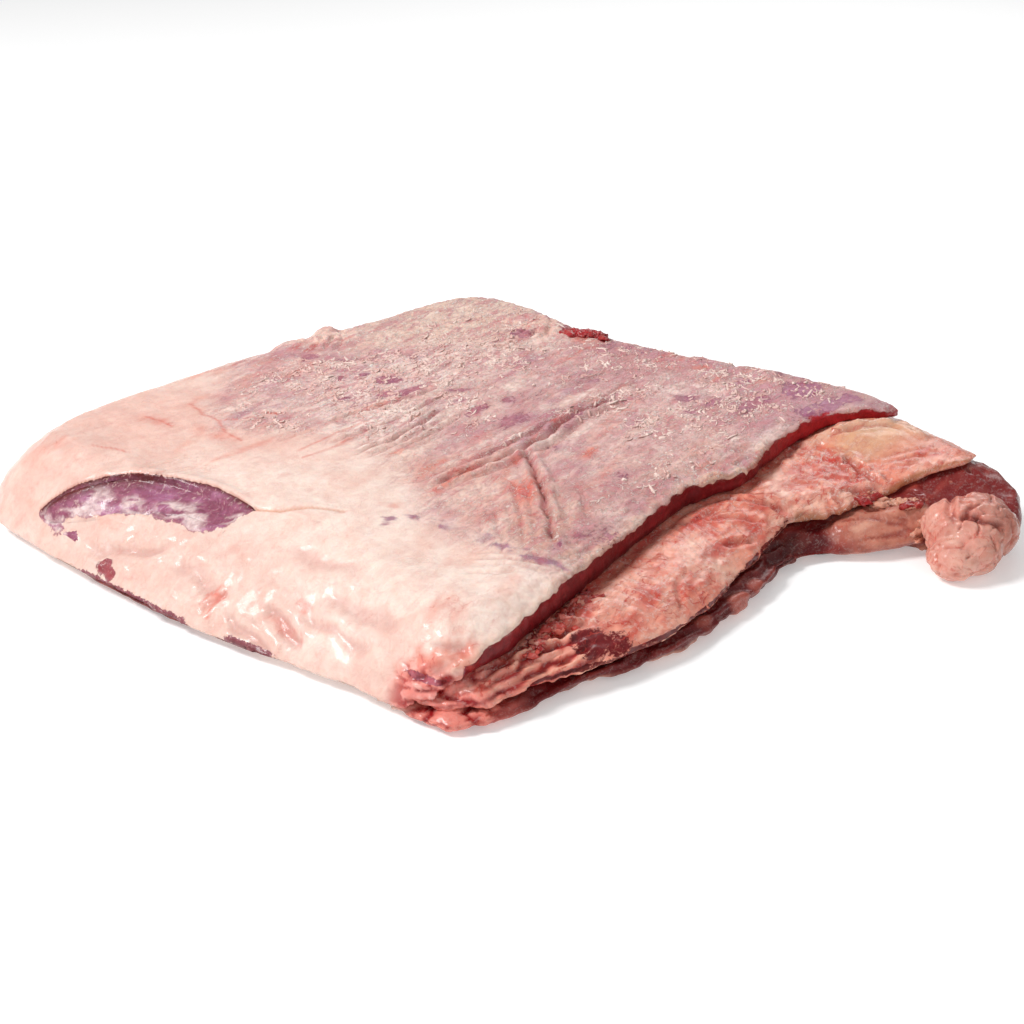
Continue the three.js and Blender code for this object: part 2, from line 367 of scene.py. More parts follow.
# %% The flesh group
def flesh_group():
    """The colour and the height of flesh, from the masks that every vertex holds."""
    tree = bpy.data.node_groups.new("flesh_surface", "ShaderNodeTree")
    n, link = tree.nodes, tree.links.new
    for name, kind in (
        ("Skin", "Color"), ("Under", "Color"), ("Bare", "Float"), ("Ragged", "Float"),
        ("Fleck", "Float"), ("Vein", "Float"),
    ):
        tree.interface.new_socket(name, in_out="INPUT", socket_type="NodeSocket" + kind)
    for name, kind in (("Colour", "Color"), ("Height", "Float")):
        tree.interface.new_socket(name, in_out="OUTPUT", socket_type="NodeSocket" + kind)
    start, end = n.new("NodeGroupInput"), n.new("NodeGroupOutput")
    place = n.new("ShaderNodeTexCoord").outputs["Object"]

    def set_inputs(node, **values):
        for name, value in values.items():
            socket = node.inputs[name.replace("_", " ")]
            if isinstance(value, (int, float, tuple)):
                socket.default_value = value
            else:
                link(value, socket)
        return node

    def clouds(scale, detail, distortion=0.5, roughness=0.6, where=place):
        node = n.new("ShaderNodeTexNoise")
        set_inputs(node, Scale=scale, Detail=detail, Distortion=distortion)
        set_inputs(node, Roughness=roughness, Vector=where)
        return node.outputs["Fac"]

    def drawn_out(degrees, stretch):
        """Coordinates in which noise comes out as streaks along a heading in plan."""
        node = n.new("ShaderNodeMapping")
        node.vector_type = "TEXTURE"
        turn = (0.0, 0.0, math.radians(degrees))
        return set_inputs(node, Vector=place, Rotation=turn, Scale=(stretch, 1.0, 1.0)).outputs["Vector"]

    def ramp(source, low, high):
        node = n.new("ShaderNodeMapRange")
        node.interpolation_type = "SMOOTHSTEP"
        set_inputs(node, Value=source, From_Min=low, From_Max=high)
        return node.outputs["Result"]

    def maths(kind, *sources):
        node = n.new("ShaderNodeMath")
        node.operation = kind
        for socket, source in zip(node.inputs, sources):
            if isinstance(source, (int, float)):
                socket.default_value = source
            else:
                link(source, socket)
        return node.outputs[0]

    def blend(kind, factor, a, b):
        node = n.new("ShaderNodeMix")
        node.data_type = "RGBA"
        node.blend_type = kind
        set_inputs(node, Factor=factor)
        for socket, source in ((node.inputs[6], a), (node.inputs[7], b)):
            if isinstance(source, tuple):
                socket.default_value = source
            else:
                link(source, socket)
        return node.outputs[2]

    fine, middle, broad = clouds(620, 5, 0.8, 0.65), clouds(210, 5, 0.9), clouds(62, 4, 0.6)
    streaks = clouds(330, 5, 1.6, 0.62, drawn_out(14, 4.0))
    films = clouds(125, 5, 1.2, 0.62, drawn_out(14, 2.6))
    ragged = maths("ADD", middle, maths("MULTIPLY", fine, 0.5))
    ragged = maths("ADD", maths("MULTIPLY", streaks, 0.7), ragged)
    ragged = maths("MULTIPLY", maths("SUBTRACT", ragged, 1.1), start.outputs["Ragged"])
    bare = ramp(maths("ADD", start.outputs["Bare"], ragged), 0.44, 0.56)
    fleck = maths("MULTIPLY", start.outputs["Fleck"], maths("SUBTRACT", 1.0, bare))
    grains = ramp(maths("ADD", fine, maths("MULTIPLY", middle, 0.7)), 0.88, 1.02)
    strands = ramp(maths("ADD", streaks, maths("MULTIPLY", fine, 0.4)), 0.76, 0.88)
    pale = maths("MULTIPLY", maths("MAXIMUM", maths("MULTIPLY", grains, 0.8), strands), fleck)
    shows = maths("MULTIPLY", ramp(films, 0.47, 0.62), maths("MULTIPLY", fleck, 0.60))

    wobble = n.new("ShaderNodeVectorMath")
    wobble.operation = "MULTIPLY_ADD"
    swirl = n.new("ShaderNodeTexNoise")
    set_inputs(swirl, Scale=75.0, Detail=4.0, Vector=place)
    link(swirl.outputs["Color"], wobble.inputs[0])
    wobble.inputs[1].default_value = (0.028, 0.028, 0.028)
    link(place, wobble.inputs[2])
    threads = n.new("ShaderNodeTexVoronoi")
    threads.feature = "DISTANCE_TO_EDGE"
    set_inputs(threads, Scale=78.0, Vector=wobble.outputs[0])
    line = maths("MULTIPLY", ramp(threads.outputs["Distance"], 0.06, 0.0), ramp(films, 0.48, 0.60))
    vein = maths("MULTIPLY", line, start.outputs["Vein"])
    blush = maths("MULTIPLY", ramp(films, 0.50, 0.66), maths("MULTIPLY", start.outputs["Vein"], 0.45))

    uneven = maths("ADD", 0.4, maths("MULTIPLY", fleck, 0.6))
    skin = blend("MULTIPLY", ramp(broad, 0.35, 0.62), start.outputs["Skin"], (0.93, 0.86, 0.85, 1))
    spots = maths("MULTIPLY", ramp(middle, 0.42, 0.60), uneven)
    skin = blend("MULTIPLY", spots, skin, (0.91, 0.82, 0.81, 1))
    bands = maths("MULTIPLY", ramp(streaks, 0.42, 0.60), fleck)
    skin = blend("MULTIPLY", bands, skin, (0.88, 0.77, 0.77, 1))
    skin = blend("MIX", shows, skin, start.outputs["Under"])
    skin = blend("MIX", maths("MULTIPLY", pale, 0.85), skin, (0.94, 0.82, 0.75, 1))
    skin = blend("MIX", blush, skin, (0.70, 0.20, 0.13, 1))
    under = blend("MULTIPLY", ramp(middle, 0.38, 0.62), start.outputs["Under"], (0.72, 0.62, 0.64, 1))
    under = blend("MIX", maths("MULTIPLY", strands, 0.35), under, start.outputs["Skin"])
    colour_out = blend("MIX", bare, skin, under)
    colour_out = blend("MIX", maths("MULTIPLY", vein, 0.85), colour_out, (0.52, 0.045, 0.03, 1))
    rise = maths("ADD", maths("MULTIPLY", fine, 0.45), maths("MULTIPLY", middle, 0.40))
    rise = maths("ADD", rise, pale)
    link(maths("SUBTRACT", rise, maths("MULTIPLY", bare, 0.7)), end.inputs["Height"])
    link(colour_out, end.inputs["Colour"])
    print(tree.name, "has", len(tree.nodes), "nodes")
    return tree


FLESH = flesh_group()
MASKS = {
    "Skin": "paint", "Under": "under", "Bare": "bare", "Ragged": "ragged", "Fleck": "fleck", "Vein": "vein",
}


# %% One material for each layer
def flesh(name, bump, depth, matt, wet_shine, coat, scatter):
    """Wet flesh. The wet mask takes the roughness from matt to wet_shine and brings up the coat."""
    material = bpy.data.materials.new(name)
    material.use_nodes = True
    n, link = material.node_tree.nodes, material.node_tree.links.new
    shader = n["Principled BSDF"]
    group = n.new("ShaderNodeGroup")
    group.node_tree = FLESH
    for socket, mask in MASKS.items():
        attribute = n.new("ShaderNodeAttribute")
        attribute.attribute_name = mask
        output = "Color" if mask in ("paint", "under") else "Fac"
        link(attribute.outputs[output], group.inputs[socket])
    link(group.outputs["Colour"], shader.inputs["Base Color"])
    bumps = n.new("ShaderNodeBump")
    bumps.inputs["Strength"].default_value = bump
    bumps.inputs["Distance"].default_value = depth
    link(group.outputs["Height"], bumps.inputs["Height"])
    link(bumps.outputs["Normal"], shader.inputs["Normal"])
    wet = n.new("ShaderNodeAttribute")
    wet.attribute_name = "wet"
    gloss = n.new("ShaderNodeMapRange")
    gloss.inputs["To Min"].default_value = matt
    gloss.inputs["To Max"].default_value = wet_shine
    link(wet.outputs["Fac"], gloss.inputs["Value"])
    link(gloss.outputs["Result"], shader.inputs["Roughness"])
    film = n.new("ShaderNodeMath")
    film.operation = "MULTIPLY"
    film.inputs[1].default_value = coat
    link(wet.outputs["Fac"], film.inputs[0])
    link(film.outputs[0], shader.inputs["Coat Weight"])
    shader.inputs["Coat Roughness"].default_value = 0.14
    shader.inputs["Subsurface Weight"].default_value = scatter
    shader.inputs["Subsurface Radius"].default_value = (1.0, 0.35, 0.22)
    shader.inputs["Subsurface Scale"].default_value = 0.003
    shader.inputs["IOR"].default_value = 1.42
    shader.inputs["Specular IOR Level"].default_value = 0.25
    return material


def dress(piece, material, node, slot, **masks):
    """Stores the masks, gives the material, hides the node it replaces and hangs it under the root. The slot
    is not used.
    """
    for name, values in masks.items():
        store(piece, name, values)
    piece.data.materials.append(material)
    bpy.ops.object.select_all(action="DESELECT")
    piece.select_set(True)
    bpy.context.view_layer.objects.active = piece
    bpy.ops.object.shade_smooth()
    if node:
        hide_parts(node)
    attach(piece, "root")
    print(piece.name, len(piece.data.vertices), "vertices")


def painted(points, *tones):
    """A colour for every point: the first all over, then each further (colour, mask) mixed in."""
    first = tones[0]
    out = np.tile(colour(*first), (len(points), 1)) if isinstance(first, tuple) else first
    for tone, mask in tones[1:]:
        out = mix(out, colour(*tone) if isinstance(tone, tuple) else tone, mask)
    return out


def keep_in(points):
    """The points, held a tenth of a millimetre inside the box of the whole slab."""
    low, high = (np.array(c) * 1000 for c in cad_box)
    return np.clip(points, low + 0.1, high - 0.1)


# %% [markdown]
# ## The top muscle and its cover fat
# The top sheet is silverskin over purple muscle, with scraps of membrane, long wrinkles where the skin
# has bunched up, and smooth cream fat that wraps over the left side. A long slit in that side opens on
# the muscle below. Along the front the sheet is cut, and its dark red edge shows.
# Its lines are drawn in plan in millimetres, a few of them with a height as well. A wrinkle is either a
# single crease or a family of pleats, and a patch is a soft ellipse.

# %% Lines of the top sheet
FRONT_LIP = [
    (-173, -153, 22), (-151, -160, 33), (-103, -148, 38), (-53, -133, 39.5), (-5, -118, 40),
    (37, -106, 40.5), (61, -108, 39), (79, -110, 38), (113, -98, 41.5), (155, -92, 43.5), (183, -104, 46),
    (204, -115, 41.5), (217, -96, 39.5),
]
FAT_BORDER = [
    (-84, -158), (-92, -130), (-97, -100), (-100, -75), (-100, -45), (-84, -20), (-72, 20), (-66, 50),
    (-76, 78), (-100, 96), (-112, 118), (-92, 150), (-62, 195), (-58, 232),
]
SLIT_LIP = [
    (-213, 134), (-202, 124), (-191, 112), (-178, 97), (-169, 83), (-163, 72), (-156, 56), (-154, 40),
    (-153, 24), (-153, 16),
]
SLIT_TAIL = [(-153, 18), (-146, 5), (-133, -4), (-124, -18)]
SLIT_FOOT = [
    (-215, 134), (-216, 128), (-217, 119), (-216, 111), (-212, 113), (-207, 112), (-202, 107),
    (-199, 100), (-197, 89), (-194, 80), (-189, 70), (-186, 64), (-185, 56), (-184, 49), (-183, 43),
    (-180, 33), (-176, 26), (-172, 17), (-167, 21), (-163, 20), (-153, 14),
]
SEAM = [
    (-113, -40), (-103, -39), (-98, -56), (-94, -65), (-91, -74), (-89, -85), (-90, -101), (-87, -113),
    (-86, -126), (-80, -133),
]
CAPILLARIES = [
    [(-101, 160), (-105, 140), (-104, 126), (-110, 110), (-110, 94)],
    [(-104, 126), (-92, 118), (-84, 116)], [(-132, 158), (-128, 148), (-128, 136)],
    [(-205, -14), (-199, -11), (-193, -13)], [(-203, -6), (-197, -5), (-192, -9)],
    [(-176, 140), (-170, 132), (-166, 120)], [(-199, -4), (-196, -8), (-195, -14)],
    [(-96, 60), (-70, 66), (-40, 70)], [(-100, 50), (-76, 52), (-50, 56)],
    [(-36, -43), (-38, -54), (-42, -66)],
]

# %% Wrinkles, as single creases and as families of pleats
PLEATS = [  # path, reach, spacing, depth
    ([(-82, -24), (-46, -22), (-24, -23), (-5, -20), (14, -19), (35, -10), (54, -3), (72, -3), (100, -2)],
      10, 8.5, 5.6),
    ([(-55, -12), (-17, -13), (14, -7), (42, -2), (80, 4), (103, 12), (128, 3)], 5, 7.0, 3.4),
    ([(0, -16), (-13, -39), (-25, -58), (-41, -80), (-58, -102), (-72, -122)], 7, 9.0, 5.8),
    ([(-34, -47), (-46, -62), (-62, -85), (-84, -110)], 4, 7.0, 2.6),
    ([(-12, -70), (-24, -90), (-40, -110)], 4, 8.0, 1.8),
    ([(-80, 36), (-49, 38), (-23, 45), (8, 56)], 8, 7.5, 5.2),
    ([(-66, 84), (-29, 82), (-2, 80), (24, 84)], 5, 6.5, 3.4),
    ([(-80, 57), (-39, 59), (-16, 62), (16, 70)], 5, 6.5, 3.8),
    ([(-60, 24), (-34, 28), (-8, 36), (16, 46)], 5, 6.5, 3.0),
    ([(-100, 80), (-84, 78), (-64, 80)], 5, 5.0, 1.3), ([(-20, 66), (10, 74), (40, 84)], 8, 6.0, 1.8),
    ([(-177, 95), (-161, 94), (-147, 92), (-136, 86)], 4, 4.0, 1.8),
    ([(-173, 88), (-161, 79), (-150, 77), (-140, 70)], 4, 4.0, 1.6),
    ([(20, 100), (50, 108), (90, 112), (126, 110)], 12, 7.0, 1.6),
    ([(40, 20), (70, 30), (100, 34), (130, 34)], 14, 8.0, 1.7),
    ([(118, 112), (132, 118), (146, 130), (154, 142)], 10, 8.0, 4.2),
    ([(10, 184), (22, 190), (32, 200)], 8, 7.0, 4.0), ([(66, -16), (78, -34), (86, -52)], 9, 7.0, 2.0),
    ([(-110, -100), (-96, -112), (-84, -134)], 8, 7.0, 1.8),
    ([(-60, -60), (-78, -84), (-96, -110)], 8, 8.0, 1.4), ([(-10, 10), (20, 14), (50, 22)], 6, 6.0, 1.6),
]
CREASES = [  # path, half width, depth
    ([(-186, -38), (-188, -50), (-191, -62), (-194, -74)], 2.2, 1.9),
    ([(-200, -20), (-200, -44), (-199, -66)], 2.2, 1.6),
    ([(-205, -6), (-200, -12), (-194, -14)], 1.8, 1.2),
    ([(-170, -60), (-168, -90), (-166, -120)], 3.4, 1.4),
    ([(-182, -60), (-180, -84), (-178, -112)], 2.6, 1.4),
    ([(-212, 92), (-209, 72), (-200, 50), (-190, 34)], 2.4, 1.5),
    ([(-196, 30), (-196, 6), (-200, -10)], 4.0, 1.2), ([(-160, -20), (-158, -50), (-150, -76)], 4.0, 1.2),
    ([(-124, -110), (-112, -120), (-98, -128)], 2.2, 1.0),
    ([(-178, -137), (-174, -146), (-168, -156)], 1.6, 2.2),
    ([(-166, -140), (-160, -150), (-156, -158)], 2.0, 1.6),
]

# %% Patches of the top sheet: middle, half sizes, turn in degrees, strength
SEAM_MUSCLE = [
    (-104, -38, 6, 2.0, 10, 0.6), (-99, -54, 2.0, 8, -12, 0.5), (-92, -84, 2.2, 9, -10, 0.2),
    (-91, -106, 2.4, 12, 5, 0.65), (-85, -128, 2.4, 10, -15, 0.65), (-95, -72, 2.0, 7, 0, 0.1),
    (-71, -121, 8, 3, 30, 0.8), (-69, -70, 8, 5, 30, 0.4),
]
MUSCLE = SEAM_MUSCLE + [
    (8, 112, 9, 11, 30, 1.0), (-8, 96, 9, 7, -20, 0.8), (4, 89, 14, 6, 10, 1.0), (-11, 134, 8, 5, 0, 0.8),
    (3, 132, 7, 4, 0, 0.8), (-3, 178, 9, 9, 0, 0.85), (7, 163, 13, 6, -50, 0.7), (44, 134, 8, 7, 10, 0.7),
    (29, 70, 8, 3.5, -30, 0.9), (17, 57, 6, 3, 0, 1.0), (15, 40, 12, 5, 15, 0.9), (38, 38, 8, 5, 20, 0.9),
    (4, 37, 6, 4, 0, 0.7), (20, 13, 15, 9, 15, 0.9), (122, 122, 9, 11, -30, 1.0),
    (-30, 107, 7, 5, 10, 0.7), (50, -6, 10, 4, 25, 1.0), (36, -14, 9, 3.5, 25, 0.9),
    (10, -31, 5, 5, 20, 0.8), (10, -80, 12, 8, 20, 0.6), (-40, -120, 15, 12, 20, 0.7),
    (-52, -117, 8, 6, 0, 0.7), (180, -63, 17, 12, 10, 1.0), (141, -59, 19, 6, 12, 1.0),
    (125, -42, 10, 4, 10, 0.9), (117, -27, 9, 6, 0, 0.9), (104, -44, 7, 5, 0, 0.9),
    (166, -88, 22, 9, 0, 1.0), (190, -90, 10, 9, 0, 0.9), (98, 29, 6, 4, 0, 0.8),
    (162, -33, 7, 5, 0, 1.0), (-174, -145, 5, 7, 10, 0.9), (200, -50, 12, 24, 15, 0.8),
    (80, 70, 60, 10, 10, 0.35), (120, 30, 30, 18, 40, 0.4), (60, -60, 50, 16, 10, 0.35),
    (150, 60, 30, 18, -40, 0.6), (30, 148, 24, 14, 0, 0.45), (60, 40, 40, 14, 20, 0.45),
]
FLAKY = [
    (10, 118, 56, 34, 10, 1.0), (70, 92, 60, 24, 10, 0.6), (128, -56, 34, 22, -10, 1.0),
    (84, -2, 34, 12, 5, 0.9), (165, -20, 30, 22, 30, 0.7), (80, -46, 26, 20, 0, 0.7),
    (-10, 60, 60, 26, 10, 0.5), (95, 55, 26, 24, 0, 0.5), (60, -84, 80, 12, 10, 0.4),
    (185, -60, 20, 26, 20, 0.6), (-20, 150, 40, 24, 0, 0.8), (100, 130, 60, 40, 0, 0.5),
    (150, 50, 50, 40, 0, 0.4), (-2, 22, 16, 6, 20, 0.8), (-8, -10, 14, 3, 15, 1.0),
    (46, 0, 10, 8, 40, 0.9), (-80, 110, 16, 30, 0, 0.5),
]
STAINS = [
    (-38, -57, 20, 12, 50, 1.0), (-52, -8, 20, 9, 20, 0.7), (-49, -25, 26, 5, 8, 0.9),
    (21, -50, 9, 5, 15, 1.0), (-57, 22, 8, 2.5, 10, 0.9), (-60, -62, 24, 10, 20, 0.5),
    (159, 24, 9, 14, -30, 0.9), (165, 8, 7, 8, 0, 1.0), (156, -18, 9, 6, 0, 0.7),
    (58, -95, 12, 9, 20, 0.5), (60, -26, 26, 4, 18, 0.5), (-115, 112, 8, 16, 20, 0.6),
    (-130, 150, 6, 12, 10, 0.5), (-90, 156, 16, 10, -10, 0.5), (-184, 160, 9, 5, 0, 0.5),
    (-118, 82, 30, 3, 2, 0.5), (-62, 198, 12, 8, 0, 0.5), (122, 70, 26, 2.5, 12, 1.0),
    (166, -38, 9, 6, 30, 0.7), (-189, -56, 2.5, 12, 5, 0.6), (-200, -10, 5, 3, 0, 0.9),
    (-178, -59, 3, 4, 0, 0.9), (-98, -29, 4, 3, 0, 1.0), (-150, -132, 14, 9, 30, 0.5),
    (-60, -86, 14, 6, 40, 0.5), (-174, -142, 8, 12, 20, 1.0), (-160, -152, 8, 8, 0, 0.9),
    (20, -66, 20, 4, 30, 0.4), (-30, 84, 60, 2.5, 4, 0.7), (-20, 5, 40, 5, 14, 0.3),
    (34, -6, 30, 3, 24, 0.6), (-20, -17, 26, 3, 16, 0.7), (-122, 14, 3, 2, 0, 0.9),
    (12, 196, 16, 8, 0, 0.6), (130, 128, 20, 16, 0, 0.6), (150, 95, 12, 14, 0, 0.8),
]
QUILTED = [(122, -12, 34, 30, 20, 1.0), (-44, -84, 26, 34, -40, 0.8), (150, 40, 30, 40, -30, 0.7)]
GRAINY = [(110, 175, 75, 60, 0, 1.0), (-70, -110, 40, 30, 20, 0.6)]
FAR_LEFT = [(-150, 160, 90, 60, 0, 1.0), (-90, 110, 40, 60, 0, 0.9)]
RIGHT_MOTTLE = [(150, -58, 70, 34, 0, 1.0), (112, -8, 36, 18, 0, 0.6), (20, 20, 50, 14, 15, 0.6)]
BEIGE_LIP = [(64, -109, 16, 9, 0, 1.0), (94, -103, 14, 7, 12, 0.8), (192, -108, 16, 8, -20, 0.6)]
WET_SIDE = [(-171, -84, 12, 26, 0, 1.0), (-205, 66, 10, 26, 20, 1.0), (-165, 40, 8, 60, 10, 0.4)]
SLIT_SILVER = [
    (-178, 56, 6, 12, 10, 1.0), (-175, 42, 6, 12, -30, 1.0), (-196, 102, 6, 10, 0, 0.8),
    (-188, 80, 5, 8, 0, 1.0),
]
BROAD_TONES = [  # colour, strength, edge, patches
    ((202, 148, 146), 0.6, 0.7, [(156, 30, 46, 60, -20, 1.0), (196, -60, 30, 50, 0, 0.8)]),
    ((206, 152, 140), 0.6, 0.6, [
        (-56, -112, 40, 24, 20, 1.0), (10, -92, 60, 16, 14, 0.8), (-30, -80, 40, 24, -40, 0.7),
    ]),
    ((240, 208, 190), 0.5, 0.8, [
        (-60, -10, 30, 70, 0, 1.0), (-20, 66, 60, 30, 0, 0.8), (62, -64, 60, 30, 10, 0.7),
    ]),
    ((246, 222, 210), 0.5, 0.8, [
        (-30, 70, 40, 56, 0, 1.0), (30, 110, 70, 36, 10, 0.6), (100, 176, 80, 40, 0, 0.7),
    ]),
    ((252, 234, 224), 0.72, 0.7, [
        (-34, 62, 50, 26, 8, 1.0), (14, 112, 60, 34, 10, 1.0), (130, -12, 26, 20, 10, 0.7),
    ]),
    ((204, 140, 140), 0.5, 0.7, [(150, 34, 40, 40, -20, 0.9), (150, -62, 50, 14, 10, 1.0)]),
]
NUB_TONES = [
    ((255, 226, 210), 0.95, 0.4, [(27, 202, 20, 16, 0, 1.0), (134, 124, 20, 24, 0, 0.7)]),
    ((200, 70, 60), 0.8, 0.6, [(10, 192, 8, 2.5, 30, 1.0), (28, 190, 12, 2, 0, 0.6)]),
]
RED_FLECKS = [(-40, -62, 9, 5, 50, 1.0), (-42, -24, 20, 2, 5, 0.8), (-14, -30, 6, 3, 0, 0.7)]
PALE_SIDE = [(-176, -76, 16, 34, 0, 1.0), (-160, -20, 14, 40, 0, 0.6)]


# %% Helpers for skin
def near_edges(points):
    """1 along the cut front and the lip of the slit, whose edges stay sharp."""
    far_front = line_distance(points, FRONT_LIP)[0]
    far_lip = line_distance(points, SLIT_LIP)[0]
    return np.maximum(1 - step(far_front, 3, 9), 1 - step(far_lip, 2, 6))


def pleats(points, line, reach, spacing, depth, seed):
    """Parallel folds with round crests and sharp valleys along a line: the relief and the valley mask."""
    far, side, along = line_distance(points, line)
    across = far * side + spacing * (0.18 * noise(points, 16, seed) + 0.1 * noise(points, 6, seed + 1))
    fold = np.abs(np.sin(np.pi * across / spacing))
    fade = np.exp(-((across / reach) ** 2)) * step(along, 0, 0.18) * (1 - step(along, 0.82, 1))
    beads = 1 + 0.6 * noise(points, 8, seed + 2)
    return depth * fade * beads * (fold - 0.6), fade * (1 - fold) ** 2


def wrinkles(points, pleat_rows, seed, full_pleat, crease_points, crease_rows, full_crease):
    """The relief of a table of pleats and one of creases, and how deep in a valley each point lies."""
    relief, valley = np.zeros(len(points)), np.zeros(len(points))
    for k, (path, reach, spacing, depth) in enumerate(pleat_rows):
        folds, lows = pleats(points, path, reach, spacing, depth, seed + 7 * k)
        relief += folds
        valley = np.maximum(valley, lows * depth / full_pleat)
    for path, half_width, depth in crease_rows:
        dip = crease(crease_points, path, half_width, depth)
        relief += dip
        valley = np.maximum(valley, np.clip(-dip, 0, 3) / full_crease)
    print(len(pleat_rows), "rows of pleats and", len(crease_rows), "creases, down to", relief.min().round(1))
    return relief, valley


def spot(points, x, y, z, radius):
    """1 inside a ball, fading out over its outer half."""
    return 1 - step(np.linalg.norm(points - [x, y, z], axis=1) / radius, 0.6, 1.4)


# %% Filling a groove
PATCH_SIZE = 40
LIP_DROP = 1.4


def filled(points, normals, mask, around, recess, lip):
    """
    Fills what the mask picks up to a smooth surface through the points around it, less the recess. Lip is
    how deep each point lies in from the lip, and near the lip the new surface stays below its edge.
    """
    out_dir = normals[around].mean(axis=0)
    out_dir /= np.linalg.norm(out_dir)
    u = np.cross([0, 0, 1], out_dir)
    u /= np.linalg.norm(u)
    v = np.cross(out_dir, u)
    rel = points - points[around].mean(axis=0)
    a, b, h = rel @ u / PATCH_SIZE, rel @ v / PATCH_SIZE, rel @ out_dir
    terms = np.stack([a**i * b**j for i in range(4) for j in range(4 - i)], axis=1)
    fitted = terms @ np.linalg.lstsq(terms[around], h[around], rcond=None)[0]
    edge = around & (lip > -4) & (lip < -1)
    where = line_distance(points, SLIT_LIP)[2]
    under_lip = np.polyval(np.polyfit(where[edge], h[edge], 5), where) - LIP_DROP
    outward = (1 - step(lip, 2, 16)) * step(np.minimum(where, 1 - where), 0, 0.06)
    level = under_lip * outward + (fitted - recess) * (1 - outward)
    print("lip over the fitted surface, mean", (under_lip - fitted)[edge].mean().round(1), "mm")
    facing = step(normals @ out_dir, -0.25, 0.1)
    return points + out_dir * (np.maximum(level - h, 0) * mask * facing)[:, None]


# %% Make the top sheet
sheet = fine_copy("upper_muscle", "top_sheet", 0.0015, 36, near_edges)
p, nrm = points_of(sheet), normals_of(sheet)
hidden = (nrm[:, 2] < -0.5) & (p[:, 2] < 36) & (line_distance(p, FRONT_LIP)[0] > 12)
p, nrm = thin_out(sheet, hidden, 0.55)

# %% Close the slit down to the shallow one that shows
lip_far, lip_side, _ = line_distance(p, SLIT_LIP)
foot_far, foot_side, _ = line_distance(p, SLIT_FOOT)
lip_in, foot_in = -lip_side * lip_far, foot_side * foot_far
by_slit = (p[:, 0] < -140) & (p[:, 1] > 2) & (p[:, 1] < 142) & (nrm[:, 2] > -0.5)
groove = by_slit & (lip_in > -2.5) & (lip_far < 44) & (foot_far < 44)
beyond = (lip_in < -1) & (lip_far < 14) | (foot_in < -14) & (foot_far < 26)
around = by_slit & (nrm[:, 2] > 0.1) & beyond & (lip_far < 60)
shut = groove * step(lip_in, -2.5, -1.5) * (1 - step(-foot_in, 12, 22))
p = filled(p, nrm, shut, around, 0.3 + 1.2 * (foot_in > 0), lip_in)
set_points(sheet, p)
nrm = normals_of(sheet)
print("slit filled at", int((shut > 0.5).sum()), "vertices")

# %% Where the fat ends
up = step(nrm[:, 2], 0.15, 0.6)
flat = p * [1, 1, 0]
border_x = np.interp(p[:, 1], *zip(*[(y, x) for x, y in FAT_BORDER]))
past_border = p[:, 0] + 10 * fbm(p, 38, 3, 5) + 5 * noise(turned(p, 14, 3), 9, 6) - border_x
fat = 1 - step(past_border, -14, 20)
skin = (1 - fat) * up
left_side = step(-p[:, 0], 140, 185)

# %% Where the cut runs
front_far, front_side, front_along = line_distance(p, FRONT_LIP)
front_in = front_far * front_side
lip_height = along_line(FRONT_LIP, front_along, 2)
teeth = 1.6 * noise(flat, 9, 7) + 0.9 * noise(flat, 5.5, 8) + 1.5 * noise(flat, 17, 11)
over_cut = p[:, 2] - lip_height + 0.25 * front_in + teeth + 0.3
at_front = (front_far < 9) & (front_in < 5) & (p[:, 0] > -162)
nose_end = step(p[:, 0], 90, 130)
cut = np.where(at_front, np.clip(0.5 - (over_cut - 1.4 * nose_end) / 4, 0, 1), 0)
cut *= 1 - step(nrm[:, 2], 0.72 + 0.12 * nose_end, 0.99)
lip_bead = np.exp(-((over_cut - 1.2) ** 2) / 4) * (front_far < 8) * (nrm[:, 2] > -0.3)
trimmed = (1 - step(nrm[:, 2], 0.15, 0.55)) * step(p[:, 0] + 0.5 * p[:, 1], -60, 20) * (front_far > 9)
trimmed = np.clip(trimmed * (0.62 + 0.5 * fbm(p, 22, 3, 14) + 0.08 * (36 - p[:, 2])), 0, 1)

# %% Where the slit lies
edge_in = np.minimum(lip_in, foot_in + 4 * fbm(turned(p, 60, 2), 8, 3, 12))
edge_in = np.minimum(edge_in, p[:, 1] - 17)
slit = np.where(by_slit & (lip_far < 44), np.clip(0.5 + np.minimum(edge_in / 5, lip_in / 1.6), 0, 1), 0)
in_slit = step(slit, 0.45, 0.75)
left_side *= 1 - in_slit
over_lip = np.exp(-((lip_in + 2.5) ** 2) / 8) * step(p[:, 1], 16, 36) * (lip_far < 14) * (lip_in < 1)
tail_far, _, tail_along = line_distance(p, SLIT_TAIL)
print("fat", fat.mean().round(3), "cut", cut.mean().round(4), "slit", in_slit.mean().round(4))

# %% Shape the skin: long swells, granular parts, flaking threads and folds
flaky = blobs(p, FLAKY, 0.6) * skin
granular = blobs(p, [(100, 178, 85, 60, 0, 1.0), (70, -102, 40, 9, 5, 1.0)], 0.5) * skin
grainy_fat = blobs(p, [(-70, -120, 40, 24, 20, 0.7), (-112, -132, 46, 22, 14, 0.6)], 0.6) * up
granular = np.maximum(granular, grainy_fat)
thread = ridges(turned(p, 35, 1.7), 8, 2, 41) * step(fbm(p, 16, 3, 42), -0.15, 0.35)
relief = 0.9 * fbm(p, 55, 3, 21) + fat * (0.7 * fbm(p, 26, 3, 22) + 0.35 * fbm(turned(p, 20, 2), 9, 2, 23))
relief += skin * (0.9 * ridges(turned(p, 14, 3.0), 8, 3, 31) + 0.6 * fbm(p, 5.5, 2, 33))
relief += flaky * 1.1 * step(thread, 0.5, 0.85) + granular * (1.3 * (1 - ridges(p, 5.5, 2, 36)) - 0.5)
wandering = swirled(p, 3.5, 13, 141)
bunched, valley = wrinkles(p, PLEATS, 100, 3.5, wandering, CREASES, 4)
